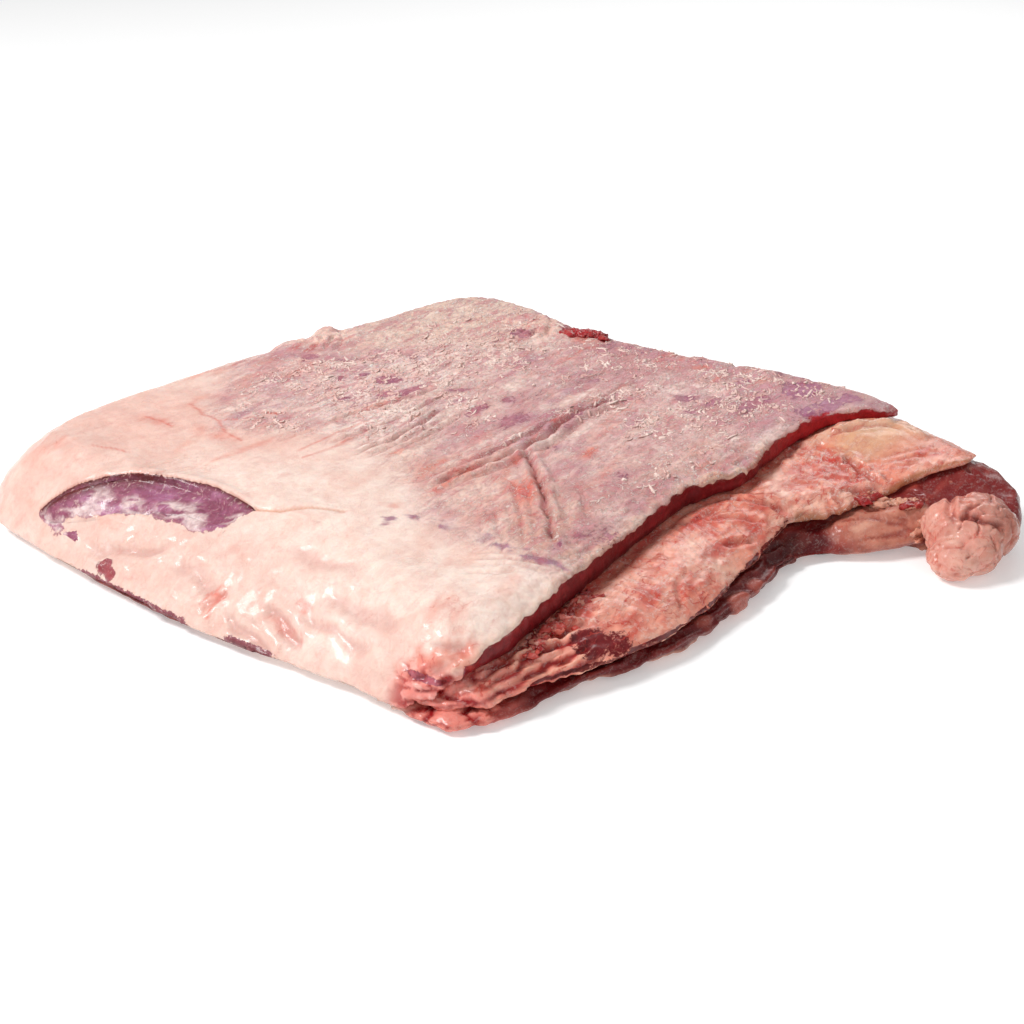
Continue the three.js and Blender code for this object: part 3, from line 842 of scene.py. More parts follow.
relief += up * bunched
quilted = blobs(p, QUILTED, 0.6)
relief += up * quilted * 2.2 * (fbm(turned(p, 40, 1.3), 9, 2, 48) + 0.1)
relief += skin * 0.8 * quilted * ridges(turned(p, -50, 2.2), 6, 2, 147)
knobbly = np.exp(-((line_distance(p, PLEATS[2][0])[0] / 11) ** 2)) * (0.6 + 0.8 * (p[:, 1] < -30))
relief += up * knobbly * 2.4 * fbm(turned(p, 40, 1.2), 7.5, 2, 144)
print("skin relief", relief.min().round(1), "to", relief.max().round(1), "mm")

# %% Shape the left side, the slit, the cut and the corners
relief += left_side * (1.5 * fbm(p, 34, 3, 51) + 0.6 * fbm(turned(p, 70, 1.6), 10, 3, 56))
relief += fat * 0.28 * fbm(p, 4.2, 2, 39)
relief += 1.3 * over_lip + in_slit * 0.5 * ridges(turned(p, -50, 3.0), 7, 2, 52)
relief -= 1.8 * np.exp(-((tail_far / 1.5) ** 2)) * (1 - 0.8 * tail_along)
rough_cut = 0.7 * fbm(turned(p, 15, 2), 7, 3, 53) + 1.3 * fbm(p, 24, 2, 54) - 0.8 * ridges(flat, 8, 2, 50)
relief += cut * rough_cut
corner = blob(p, -176, -146, 15, 15, 0, 0.5) * (1 - step(p[:, 2], 20, 30))
knots = ridges(turned(p * [1, 1, 1.6], -60, 1.4), 8, 2, 58)
relief += corner * 3.4 * (0.5 - knots) - 1.6 * spot(p, -169, -155, 22, 3)
far_edge = blobs(p, [(186, 20, 26, 90, -10, 1.0), (160, 110, 40, 40, 0, 1.0)], 0.6)
relief += up * far_edge * (2.6 * fbm(flat, 26, 2, 47) + 1.6 * fbm(flat, 9, 2, 145))
low_left = step(-p[:, 0], 150, 185) * (1 - step(p[:, 2], 8, 20))
relief += low_left * 2.6 * fbm(flat, 24, 2, 149)
back_lumps = blobs(p, [(132, 122, 26, 20, -40, 1.0), (24, 203, 22, 10, 0, 1.0)], 0.5)
relief += up * back_lumps * 2.2 * (0.4 - ridges(p, 11, 2, 49))
beige = blobs(flat, BEIGE_LIP, 0.5)
bead = 0.9 + 1.6 * noise(flat, 9, 55) + 1.2 * noise(flat, 4.0, 57) + 1.2 * beige
relief += lip_bead * (1 - 0.6 * nose_end) * bead
set_points(sheet, keep_in(p + nrm * relief[:, None]))
print("top sheet moved by", relief.min().round(1), "to", relief.max().round(1), "mm")

# %% Where the skin is mottled, stained and torn
mauve = step(fbm(turned(p, 18, 2.4), 18, 3, 63), -0.05, 0.4)
creamy = step(fbm(turned(p, 16, 3.0), 11, 3, 58), -0.05, 0.4)
pinkish = step(fbm(turned(p, 16, 4.5), 7, 3, 59), 0.0, 0.45)
soft_purple = blobs(p, MUSCLE, 0.9) * step(fbm(turned(p, 18, 2.6), 8, 3, 64), -0.45, 0.3)
right_mottle = blobs(p, RIGHT_MOTTLE, 0.7) * step(fbm(turned(p, 18, 2.2), 10, 3, 148), -0.1, 0.25)
stain_noise = fbm(turned(p, 20, 3.0), 8, 3, 66) + 0.35 * ridges(turned(p, 20, 4), 6, 2, 67)
stained = blobs(p, STAINS, 0.6) * step(stain_noise, -0.2, 0.5)
by_seam = np.exp(-((line_distance(p, SEAM)[0] / 5.0) ** 2))
seam = step(by_seam, 0.08, 0.45) * step(by_seam + 1.5 * fbm(turned(p, -60, 1.4), 7, 3, 76), 0.56, 1.0)
seam *= 1 - 0.9 * blob(p, -91, -76, 8, 12)
wavy = p + noise(p, 8, 90)[:, None]
capillary = np.max([np.exp(-((line_distance(wavy, path)[0] / 0.9) ** 2)) for path in CAPILLARIES], axis=0)
ring = spot(p, -213, 74, 17, 9) * step(fbm(p, 5, 2, 74), -0.2, 0.3) * (1 - spot(p, -215, 66, 13, 6))
# A thin dark line along the lip of the slit: a painted shadow under the lip
lip_shadow_line = np.exp(-((lip_in - 0.2) ** 2) / 0.5) * (lip_far < 4) * step(p[:, 1], 18, 26)
print("stained", stained.mean().round(3), "seam", seam.mean().round(4))


# %% Paint the skin
def toned(points, table):
    """The rows of a table of tones as pairs of a colour and a mask."""
    return [(tone, blobs(points, spots, edge) * strength) for tone, strength, edge, spots in table]


paint = painted(
    p, (229, 194, 187), ((250, 227, 215), creamy * 0.9), ((192, 140, 152), mauve * 0.85),
    ((214, 140, 130), pinkish * 0.6), ((234, 208, 188), blobs(p, GRAINY, 0.6) * 0.85),
    *toned(p, BROAD_TONES), ((200, 138, 146), right_mottle * 0.5), ((180, 122, 140), soft_purple * 0.85),
)

# %% Paint the fat
peachy = fat * step(fbm(turned(p, 30, 1.6), 26, 3, 65), 0.0, 0.6)
orange = fat * step(fbm(turned(p, 30, 3), 12, 3, 60), 0.2, 0.7)
side_streaks = left_side * fat * step(fbm(turned(p, 78, 2.5), 16, 3, 61), 0.0, 0.6)
paint = painted(
    p, paint, ((247, 225, 212), fat), ((236, 192, 178), blobs(p, FAR_LEFT, 0.7) * fat * 0.85),
    ((236, 196, 180), peachy * 0.65), ((240, 184, 166), orange * 0.45),
    ((229, 196, 183), left_side * fat * 0.8), ((232, 176, 160), side_streaks * 0.5),
    ((250, 226, 214), blobs(p, PALE_SIDE, 0.6) * 0.6),
)

# %% Paint the stains, the marks and the edges, with painted shade in the valleys and under the slit's lip and painted highlights on the corner's folds
paint = painted(
    p, paint, ((222, 112, 90), stained * 0.85), ((154, 100, 128), seam * 0.85 * up),
    ((210, 92, 80), blob(p, -74, 115, 6, 2.0, -41)),
    ((252, 236, 226), flaky * step(thread, 0.5, 0.8) * 0.9),
    # The valleys of the wrinkles get a darker pink: partly the skin's own colour, partly painted shade
    ((232, 92, 66), blobs(p, RED_FLECKS, 0.6) * 0.7), ((176, 100, 96), valley * 0.85 * up),
    ((214, 142, 104), np.exp(-((tail_far / 1.3) ** 2)) * 0.7),
    ((240, 210, 184), lip_bead * (0.35 + 0.6 * beige) * (1 - 0.8 * nose_end)), *toned(p, NUB_TONES),
    ((238, 148, 138), corner * 0.9), ((160, 16, 22), corner * step(knots, 0.46, 0.66) * 0.9),
    # The raised folds at the corner are painted pale: cream fat with a painted highlight on it
    ((250, 206, 194), corner * step(-knots, -0.24, -0.1) * 0.7),
    ((150, 16, 20), spot(p, -169, -155, 22, 3.4)),
    # The painted shadow line under the slit's lip is mixed in here, between the capillaries and the cut
    ((214, 92, 72), capillary * 0.6), ((176, 84, 62), lip_shadow_line * 0.7), ((168, 54, 54), step(cut, 0.5, 0.8)),
    ((236, 212, 204), ring * 0.8),
)
print("sheet painted, mean of the linear colour", paint.mean(axis=0).round(3))

# %% Paint the purple muscle, the floor of the slit, and painted shade under its lip
top_muscle = painted(
    p, (190, 124, 136), ((170, 104, 126), step(fbm(p, 14, 2, 78), -0.1, 0.4)),
    ((178, 112, 146), 0.6 * (p[:, 0] > 150)),
)
purple = step(fbm(turned(p, -60, 3), 9, 3, 68), -0.2, 0.5)
sheath = step(ridges(turned(wandering, -60, 1.5), 8, 1, 146), 0.80, 0.96)
silver = step(ridges(turned(p, -50, 3), 8, 3, 69), 0.42, 0.7) * step(foot_in + 3 * noise(p, 7, 67), 9, 2)
glints = blobs(p, SLIT_SILVER, 0.5) * step(ridges(turned(p, -58, 2.5), 7, 2, 75), 0.25, 0.5)
slit_floor = painted(
    p, (150, 82, 106), ((182, 118, 152), purple), ((222, 182, 200), sheath * 0.6),
    ((232, 210, 206), np.maximum(silver, glints) * 0.9),
)
# Painted shade: the floor of the slit is darker just under its lip
shade = np.exp(-np.clip(lip_in - 0.8, 0, 99) / 1.6) * (slit > 0.3)
under = painted(p, top_muscle, (slit_floor, in_slit), ((96, 26, 28), shade))
print("slit floor, mean of the linear colour", slit_floor.mean(axis=0).round(3))

# %% Paint the cut meat and the low edges
meat = painted(
    p, (126, 14, 22), ((158, 38, 42), step(fbm(turned(p, 15, 5), 7, 3, 72), -0.1, 0.6)),
    # Toward the nose the cut is painted a brighter red: painted light against the shade under the overhang
    ((96, 8, 16), step(-over_cut, 4, 9) * 0.8), ((196, 44, 50), step(p[:, 0], 96, 130) * 0.7),
)
scrap = blob(p, 156, 96, 13, 19, 10, 0.25) * (p[:, 2] > 38)
scrap *= step(p[:, 0] + 0.35 * (p[:, 1] - 96), 147, 152)
pockets = np.maximum(spot(p, -215, 68, 13, 5), spot(p, -216, 62, 10.5, 4)) * 0.75
strip = np.exp(-(((p[:, 2] - 21.5) / 1.7) ** 2)) * blob(p, -173, -145, 8, 12) * (p[:, 0] < -160)
low_edge = (1 - step(p[:, 2], 6, 10)) * step(-p[:, 0], 190, 198)
low_edge *= np.maximum(blob(p, -214, 42, 30, 46, 0, 0.3), blob(p, -202, -44, 16, 16, 0, 0.4))
is_meat = (np.maximum(cut, trimmed - 0.15) > 0.05) * 1.0
under = painted(
    p, under, (meat, is_meat), ((150, 42, 44), np.maximum(scrap, pockets)), ((176, 92, 104), strip * 1.5),
    ((140, 14, 18), spot(p, -169, -155, 22, 3.6)), ((124, 62, 68), low_edge),
)
print("cut meat, mean of the linear colour", meat.mean(axis=0).round(3))

# %% Dress the top sheet
patchy = blobs(p, MUSCLE, 0.8)
torn = 0.12 + 0.40 * patchy + 0.15 * step(patchy, 0.5, 0.9) + 0.08 * right_mottle
torn = np.clip(torn * (1 + 0.5 * fbm(turned(p, 18, 2.6), 9, 3, 44)), 0, 0.62)
torn *= up * np.maximum(skin, blobs(p, SEAM_MUSCLE, 0.5))
ragged = np.where(cut > 0.1, 0.3, np.where(slit > 0.1, 0.1 + step(lip_in, 3, 8), 1))
wet = 0.35 + 0.35 * fat + 0.35 * in_slit - 0.2 * cut - 0.2 * flaky + 0.35 * noise(p, 24, 73) + 0.6 * scrap
wet += 0.5 * corner - 0.5 * in_slit * (1 - step(lip_in, 7, 11)) + 0.35 * blobs(p, WET_SIDE, 0.6)
bare = np.maximum.reduce([torn, cut, slit, trimmed, scrap, pockets, low_edge, strip])
dress(
    sheet, flesh("silverskin_and_fat", 0.65, 0.0011, 0.48, 0.26, 0.34, 0.15), "upper_muscle", "silverskin",
    paint=paint, under=under, bare=bare, ragged=ragged, wet=wet,
    fleck=(skin * (0.6 + 0.5 * flaky + 0.3 * granular) + 0.05) * (1 - in_slit),
    vein=0.12 * fat + 0.25 * skin + 0.75 * stained,
)

# %% [markdown]
# ## Scraps of membrane
# Where the silverskin was pulled at, thin strips of it have torn loose and lie on the skin, mostly all
# the same way. Each one is a short flat ribbon, bent along its length, with its ends a little raised.
# They are set down on the skin one point at a time, so that none of them floats.

# %% Helpers for small scattered things
draw = np.random.default_rng(11)
RIBBON_STEPS = 6
RIBBON_SUNK = 0.3
RIBBON_CROWN = 0.35


def heights(piece, x, y):
    """The height of a piece's top at each place in plan."""
    tree = BVHTree.FromObject(piece, bpy.context.evaluated_depsgraph_get())
    down = Vector((0, 0, -1))
    hits = [tree.ray_cast(Vector((i / 1000, j / 1000, 0.1)), down)[0] for i, j in zip(x, y)]
    return np.array([hit.z * 1000 if hit else 0.0 for hit in hits])


def joined_mesh(name, verts, faces):
    """One mesh of many small things, from its points in millimetres."""
    mesh = bpy.data.meshes.new(name)
    mesh.from_pydata((verts / 1000).tolist(), [], faces)
    mesh.update()
    piece = bpy.data.objects.new(name, mesh)
    bpy.context.scene.collection.objects.link(piece)
    return piece


def ribbon_faces(count):
    """The faces of closed ribbons whose cross sections are triangles, with a cap at both ends."""
    faces = []
    for k in range(count):
        first = k * RIBBON_STEPS * 3
        last = first + RIBBON_STEPS * 3 - 3
        for a in range(first, last, 3):
            faces += [(a + i, a + (i + 1) % 3, a + 3 + (i + 1) % 3, a + 3 + i) for i in range(3)]
        faces += [(first + 2, first + 1, first), (last, last + 1, last + 2)]
    return faces


def ribbons(count, places, chance, heading, spread, length, width, rise):
    """The vertices of ribbons laid on the sheet at places picked by chance."""
    picked = places[draw.choice(len(places), count, p=chance / chance.sum())]
    turn = np.radians(heading + spread * draw.normal(size=count))
    curve = draw.normal(size=count) * 0.45
    size = length * np.exp(0.55 * draw.normal(size=count))
    half = width * (0.35 + 1.3 * draw.random(count) ** 2) / 2
    lift = rise * draw.random(count) ** 2
    t = np.linspace(-0.5, 0.5, RIBBON_STEPS)[None, :]
    angle = turn[:, None] + curve[:, None] * t
    x = picked[:, :1] + size[:, None] * t * np.cos(angle)
    y = picked[:, 1:2] + size[:, None] * t * np.sin(angle)
    z = heights(sheet, x.ravel(), y.ravel()).reshape(x.shape)
    z = z + 0.05 + lift[:, None] * (2 * t) ** 2
    taper = half[:, None] * (1 - 0.75 * (2 * t) ** 2)
    tilt = 0.3 * draw.normal(size=count)[:, None] + 0 * t
    side = np.stack([-np.sin(angle), np.cos(angle), tilt], axis=-1) * taper[..., None]
    middle = np.stack([x, y, z], axis=-1)
    base = middle - [0, 0, RIBBON_SUNK]
    return np.stack([base - side, base + side, middle + [0, 0, RIBBON_CROWN]], axis=2).reshape(-1, 3)


# %% Scatter the membrane
RIBBONS = 2100
likely = np.clip(flaky - 0.08, 0, 1) * step(fbm(p, 14, 2, 43), -0.4, 0.3)
likely = likely * (nrm[:, 2] > 0.8) * (front_in > 6)
verts = ribbons(RIBBONS, p, likely, 28, 38, 2.9, 2.2, 0.75)
strips = joined_mesh("membrane_scraps", keep_in(verts), ribbon_faces(RIBBONS))
v = points_of(strips)
dress(
    strips, flesh("membrane", 0.2, 0.0004, 0.5, 0.35, 0.2, 0.0), None, "silverskin",
    paint=painted(v, (248, 226, 216), ((234, 196, 188), step(noise(v, 18, 81), -0.3, 0.4))),
    under=(226, 184, 168), bare=0, ragged=0, wet=0.4, fleck=0, vein=0,
)

# %% [markdown]
# ## The seam fat
# Wet seam fat shows as the ledge in front of the sheet and as the cap on the nose. It is soft and lumpy,
# torn into threads where the sheet was pulled away, and streaked with red. At the near corner it is
# folded into thin cream and red strata.

# %% Lines and patches of the seam fat
RIM = [
    (85, -142), (97, -152), (112, -157), (130, -161), (146, -163), (162, -169), (174, -174), (186, -178),
    (199, -179),
]
LEDGE_RIM = [
    (-157, -170), (-123, -172), (-82, -178), (-52, -180), (-31, -176), (-9, -170), (12, -161), (35, -154),
    (64, -143),
]
LEDGE_PLEATS = [  # path, reach, spacing, depth
    ([(-156, -164), (-136, -165), (-116, -166), (-96, -170)], 7, 4.2, 2.8),
    ([(-50, -140), (-46, -154), (-40, -170)], 16, 7.0, 0.9),
    ([(30, -112), (26, -128), (24, -146)], 24, 6.0, 0.8),
    ([(134, -112), (137, -130), (141, -148), (142, -162)], 7, 5.0, 1.3),
    ([(96, -120), (108, -134), (122, -150)], 9, 7.0, 0.9),
    ([(150, -146), (160, -152), (172, -158)], 8, 6.0, 1.2),
    ([(-150, -158), (-130, -157), (-110, -152)], 5, 5.0, 1.6),
]
LEDGE_CREASES = [  # path, half width, depth
    ([(146, -122), (141, -134), (136, -146), (136, -157)], 2.2, 2.8),
    ([(152, -104), (166, -112), (180, -122), (186, -134)], 1.8, 2.0),
    ([(58, -108), (66, -118), (75, -129), (82, -141)], 2.0, 3.4),
    ([(64, -141), (52, -132), (38, -124), (28, -118)], 1.8, 1.4),
    ([(22, -144), (34, -146), (46, -148)], 1.6, 1.8), ([(-36, -174), (-30, -165), (-22, -156)], 1.6, 1.0),
    ([(160, -99), (176, -106), (192, -118), (204, -128)], 2.0, 2.2),
    ([(20, -116), (32, -120), (50, -118)], 1.8, 1.4),
    ([(-108, -160), (-96, -158), (-84, -158)], 2.2, 2.4),
    ([(112, -146), (122, -152), (134, -160)], 1.8, 2.0),
]
RED_MARKS = [
    (-96, -164, 16, 9, -20, 1), (-104, -154, 24, 6, 12, 1), (28, -120, 14, 8, 12, 1.0),
    (36, -126, 20, 10, 12, 0.8), (-45, -162, 12, 10, 20, 0.8), (-20, -158, 16, 8, 10, 0.6),
    (18, -147, 14, 4, 0, 0.9), (22, -144, 10, 3, 0, 0.9), (10, -132, 8, 4, 0, 0.6),
    (175, -158, 16, 5, -12, 1.0), (134, -134, 7, 26, -12, 0.9), (118, -144, 12, 5, -20, 0.7),
    (-140, -163, 26, 3.5, 3, 0.9), (-60, -136, 26, 5, 15, 0.9), (-10, -120, 24, 4, 15, 0.9),
    (68, -128, 5, 12, -30, 0.9), (-30, -150, 20, 4, 40, 0.6), (60, -114, 10, 4, 0, 0.8),
    (-70, -170, 12, 6, 0, 0.7), (196, -140, 6, 14, 0, 0.5), (-120, -150, 24, 5, 12, 1.0),
    (52, -138, 12, 10, 30, 0.7), (104, -128, 18, 10, -20, 0.6), (124, -132, 12, 14, 20, 0.9),
    (118, -116, 16, 5, -20, 0.8), (128, -148, 8, 10, 0, 0.6), (-86, -150, 10, 5, 15, 1.0),
]
RAW = [
    (132, -122, 18, 34, 0, 1), (120, -148, 20, 12, 0, 0.8), (-100, -154, 34, 9, 8, 0.9),
    (-128, -154, 26, 6, 4, 0.7),
]
LEDGE_STRIP = [(156, -103, 14, 5, -30, 1.0), (178, -116, 14, 5, -28, 1.0), (190, -134, 5, 12, -15, 1.0)]

# %% Make the seam fat
ledge = fine_copy("seam_fat", "seam_fat_layer", 0.0015, 12)
p, nrm = points_of(ledge), normals_of(ledge)
front_in = np.prod(line_distance(p, FRONT_LIP)[:2], axis=0)
hidden = (np.abs(nrm[:, 2]) > 0.75) & ((front_in > 14) | (nrm[:, 2] < 0))
p, nrm = thin_out(ledge, hidden, 0.4)


# %% Layers that show at the front, and the torn near corner
def strata(points):
    """Thin pale layers with dark gaps that follow the foot of the front, as a number of 0 to 1."""
    level = points[:, 2] + 0.35 * points[:, 1] - 0.05 * points[:, 0]
    level += 2.5 * noise(points, 30, 120) + 1.8 * noise(points, 11, 119) + 0.8 * noise(points, 5, 116)
    return 0.5 + 0.5 * np.sin(2 * np.pi * level / 5.0 + 1.5 * noise(points, 40, 118))


def near_corner(points):
    """1 at the near corner, where the seam fat and the lean are torn into folds."""
    return blob(points, -164, -156, 26, 22, 0, 0.45)


def corner_folds(points):
    """The crests of the folds at the near corner, 0 to 1."""
    return ridges(turned(points * [1, 1, 1.5], -20, 1.5), 11, 2, 117)


# %% Parts of the seam fat
up = step(nrm[:, 2], 0.1, 0.6)
side = 1 - step(np.abs(nrm[:, 2]), 0.35, 0.7)
front_far, front_side, _ = line_distance(p, FRONT_LIP)
ahead = -front_far * front_side
rim_far = line_distance(p, RIM)[0]
foot_far = line_distance(p, LEDGE_RIM)[0]
cap = blob(p, 172, -128, 34, 20, -14, 0.4)
corner = near_corner(p)
layered = blob(p, -122, -168, 34, 14, 2, 0.35)
raw = blobs(p, RAW, 0.5)
tatters = ridges(turned(swirled(p, 3.0, 11, 131), 60, 1.7), 8, 3, 103)
strip = blobs(p, LEDGE_STRIP, 0.5)
broken = step(fbm(p, 15, 2, 115), -0.35, 0.15)
layers = strata(p)
fibres = ridges(turned(p, 24, 3.5), 6, 3, 122)
print("cap", cap.mean().round(3), "layered", layered.mean().round(3), "raw", raw.mean().round(3))

# %% Shape the seam fat
relief = fbm(p, 26, 3, 101) * (1 - 0.4 * cap) + 0.6 * fbm(p, 6.5, 2, 102) * (1 - 0.5 * cap)
relief += up * (1 - cap) * (fibres - 0.45) + raw * 3.0 * (tatters - 0.5)
relief += up * strip * (2.2 + 1.8 * fbm(p, 8, 2, 134)) + 1.2 * cap * blob(p, 170, -132, 24, 14, -14, 0.8)
relief += layered * (0.6 + 2.4 * broken) * (layers - 0.5)
relief += 1.3 * side * (p[:, 0] < 90) * (p[:, 1] < -60) * (layers - 0.5)
relief += corner * 3.0 * (0.5 - corner_folds(p))
bunched, valley = wrinkles(p, LEDGE_PLEATS, 200, 2.5, p, LEDGE_CREASES, 3)
relief += up * bunched
relief -= 1.4 * np.exp(-((ahead - 1) ** 2) / 10) * up * (p[:, 0] < 140)
relief += 1.4 * np.exp(-(foot_far**2) / 30) * (0.3 + noise(p, 14, 123)) * (p[:, 0] < 80)
set_points(ledge, keep_in(p + nrm * relief[:, None]))
print("seam fat moved by", relief.min().round(1), "to", relief.max().round(1), "mm")

# %% Paint the seam fat
red = blobs(p, RED_MARKS, 0.6) * step(fbm(turned(p, 20, 2.5), 7, 3, 108) + 0.3 * fibres, -0.25, 0.35)
at_cut = np.exp(-np.clip(ahead, 0, 99) / 2.6) * (ahead < 16) * (p[:, 0] < 150)
at_cut *= 0.3 + 0.5 * step(fbm(p, 14, 2, 113), -0.2, 0.4)
far_sides = side * ((p[:, 1] > -60) | (p[:, 0] > 205)) + side * (p[:, 0] < -190)
far_sides = np.clip(far_sides, 0, 1)
paint = painted(
    p, (242, 160, 136), ((252, 206, 184), step(fbm(turned(p, 20, 1.8), 18, 3, 105), -0.3, 0.4) * 0.9),
    ((232, 112, 88), step(fbm(turned(p, 25, 2.4), 11, 3, 106), 0.0, 0.6) * 0.68),
    ((214, 88, 74), layered * 0.7), ((210, 84, 70), step(fibres, 0.60, 0.85) * 0.5 * (1 - cap)),
    ((222, 170, 132), cap * 0.9),
    ((206, 168, 142), blob(p, 178, -118, 14, 8, -14) * 0.6),
    ((226, 148, 124), blob(p, 178, -152, 26, 14, -14) * 0.7),
    ((250, 204, 184), blobs(p, [(-54, -149, 26, 10, 10, 0.8), (6, -140, 20, 8, 10, 0.5)], 0.6) * 0.7),
    ((206, 66, 50), raw * step(-tatters, -0.55, -0.25) * 0.85),
    ((248, 204, 182), raw * step(tatters, 0.6, 0.85) * 0.7), ((232, 186, 158), strip * 0.8),
    ((196, 40, 36), red * 0.75), ((166, 42, 36), valley * 0.8 * up), ((190, 50, 42), at_cut),
)
paint = painted(
    p, paint, ((238, 142, 130), corner * 0.9), ((150, 12, 20), corner * step(corner_folds(p), 0.46, 0.66)),
    ((244, 178, 162), corner * step(-corner_folds(p), -0.22, -0.1) * 0.7),
    ((172, 108, 70), np.exp(-((rim_far / 1.5) ** 2)) * 0.9),
    # Pale strata of fat, painted brighter still: partly their own colour, partly painted light against the
    # shade of the sheet's lip
    ((254, 190, 164), layered * step(layers, 0.55, 0.85) * (0.35 + 0.55 * broken)),
    ((150, 20, 24), np.maximum(layered, 0.6 * corner) * step(-layers, -0.45, -0.1) * 0.95),
    ((255, 178, 158), blob(p, -110, -166, 14, 4, 3, 0.4) * step(layers, 0.3, 0.6) * 0.8),
    ((238, 200, 182), far_sides * 0.9),
)
pale_side = side * step(layers, 0.6, 0.9)
under = painted(p, (122, 26, 30), ((104, 26, 24), side * 0.7), ((146, 60, 50), pale_side * 0.6))

# %% Dress the seam fat
low_side = side * step(-p[:, 0], -90, -66) * (p[:, 1] < -60) * (1 - corner)
low_side *= 0.56 + 0.5 * step(-layers, -0.6, -0.3)
dark_patch = blobs(p, [(-94, -169, 13, 9, -10, 1.0), (-82, -175, 11, 8, 0, 0.9)], 0.6)
far_bare = far_sides * 0.30 * (p[:, 0] > -190)
dress(
    ledge, flesh("wet_seam_fat", 0.5, 0.001, 0.40, 0.20, 0.45, 0.18), "seam_fat", "seam_fat",
    paint=paint, under=under, bare=np.maximum.reduce([low_side, 0.35 * red, dark_patch * 0.66, far_bare]),
    ragged=1.4 - dark_patch, wet=0.75 + 0.5 * fbm(p, 14, 2, 110) + 0.2 * raw + 0.3 * corner,
    fleck=0.4 + 0.2 * raw - 0.2 * cap - 0.25 * np.maximum(layered, corner),
    vein=up * (0.7 + 0.5 * step(fbm(p, 40, 2, 111), -0.2, 0.5)) * (1 - 0.6 * cap),
)

# %% [markdown]
# ## The lower muscle
# The lean shows as a dark strip along the foot of the front, in the fold beside the nose, and as the
# marbled face of the nose itself. A flap of fat lies on it between the fold and the nose.

# %% Make the lower muscle
NODULES = [(-24, -175, 6, 4, 6, 0.5), (8, -171, 8, 5, 12, 1.0), (26, -165, 5, 4, 20, 0.6)]
FACE_CREASES = [
    ([(148, -166), (150, -174), (151, -182)], 1.2, 2.0),
    ([(182, -178), (184, -188), (184, -198)], 1.4, 2.2),
]
lean = fine_copy("lower_muscle", "lean_layer", 0.0016, 12)
p, nrm = points_of(lean), normals_of(lean)
rim_in = np.prod(line_distance(p, RIM + [(205, -150), (214, -110)])[:2], axis=0)
shows = (nrm[:, 2] > 0) & (rim_in < 12)
p, nrm = thin_out(lean, (np.abs(nrm[:, 2]) > 0.75) & ~shows, 0.4)

# %% Parts of the lower muscle
side = 1 - step(np.abs(nrm[:, 2]), 0.35, 0.7)
below = step(-nrm[:, 2], 0.2, 0.7)
front_foot = (p[:, 0] < 70) & (p[:, 1] < -120)
layers = strata(p)
grain = fbm(turned(p, 15, 4), 7, 3, 201)
flap = blobs(p, [(118, -170, 24, 12, -38, 1), (132, -180, 12, 10, -20, 1)], 0.3)
flap *= step(nrm[:, 2], -0.5, 0.1)
corner = near_corner(p)
nodules = blobs(p, NODULES, 0.4) * front_foot * (1 - step(p[:, 2], 10, 15))
face = blob(p, 172, -186, 46, 30, -10, 0.3) * (p[:, 2] > 8) * (1 - flap)
pocket = blobs(p, [(84, -151, 26, 9, -12, 1.0), (60, -152, 12, 8, 20, 0.9)], 0.5)
pocket *= (p[:, 2] < 22) * (1 - step(flap, 0.3, 0.7))
red_meat = spot(p, 101, -160, 16, 9) * (1 - pocket * 0.5)

# %% Shape the lower muscle
rim_far, rim_side, rim_along = line_distance(p, LEDGE_RIM)
gap = np.clip(rim_far * rim_side - 1.2, 0, 8) * side * step(p[:, 2], 2, 8) * (1 - step(p[:, 2], 26, 32))
gap *= step(rim_along, 0, 0.1) * (1 - step(rim_along, 0.85, 1))
print("lean pushed out by up to", gap.max().round(1), "mm")
p += gap[:, None] * nrm * [1, 1, 0]
flesh_folds = ridges(turned(p * [1, 1, 1.4], -40, 2.4), 11, 2, 210)
relief = 0.9 * fbm(p, 20, 3, 202) + 0.4 * grain + flap * (1.6 + 1.2 * fbm(p, 10, 3, 207))
relief += flap * 2.2 * (0.5 - flesh_folds)
relief += 2.0 * (layers - 0.5) * front_foot * (1 - corner) + 1.2 * nodules - 2.2 * pocket
relief += corner * 3.0 * (0.5 - corner_folds(p))
relief += face * 1.3 * (ridges(turned(p, 70, 2.5), 8, 2, 208) - 0.4)
relief += sum(crease(p, *row) for row in FACE_CREASES)
relief *= 1 - step(-p[:, 2], -1.2, -0.4) * (nrm[:, 2] < -0.5)
set_points(lean, keep_in(p + nrm * relief[:, None]))

# %% Paint the lower muscle
marble = step(ridges(turned(p, 20, 1.6), 12, 3, 203), 0.64, 0.9)
pale_below = below * step(fbm(p, 40, 3, 205), -0.1, 0.3)
left_rim = step(-p[:, 0], 165, 180) * (1 - corner)
pale_layers = front_foot * step(layers, 0.78, 0.98) * step(fbm(p, 24, 2, 211), -0.1, 0.4)
paint = painted(
    p, (124, 34, 34), ((156, 56, 48), step(grain, -0.1, 0.6)), ((98, 14, 18), front_foot * 0.85),
    # The pocket is painted nearly black red: dark meat with painted shade in the hollow
    ((160, 66, 54), pale_layers * 0.6), ((196, 108, 92), nodules * 0.8), ((78, 14, 18), pocket * 0.9),
    ((158, 48, 50), red_meat * 0.8), ((204, 136, 114), flap),
    ((156, 78, 64), flap * step(fbm(p, 9, 3, 209), -0.1, 0.4) * 0.6),
    ((142, 52, 44), flap * step(flesh_folds, 0.55, 0.85) * 0.8),
    ((232, 176, 152), flap * step(-flesh_folds, -0.35, -0.2) * 0.7), ((206, 152, 134), pale_below * 0.9),
    ((238, 206, 190), left_rim * (1 - blob(p, -214, 40, 30, 46, 0, 0.3)) * 0.95),
    ((238, 146, 132), corner * 0.95), ((146, 14, 20), corner * step(corner_folds(p), 0.46, 0.66)),
)
deep = np.maximum(flap, corner)
under = painted(p, (196, 124, 106), ((96, 28, 28), deep), ((142, 48, 42), front_foot * 0.9))
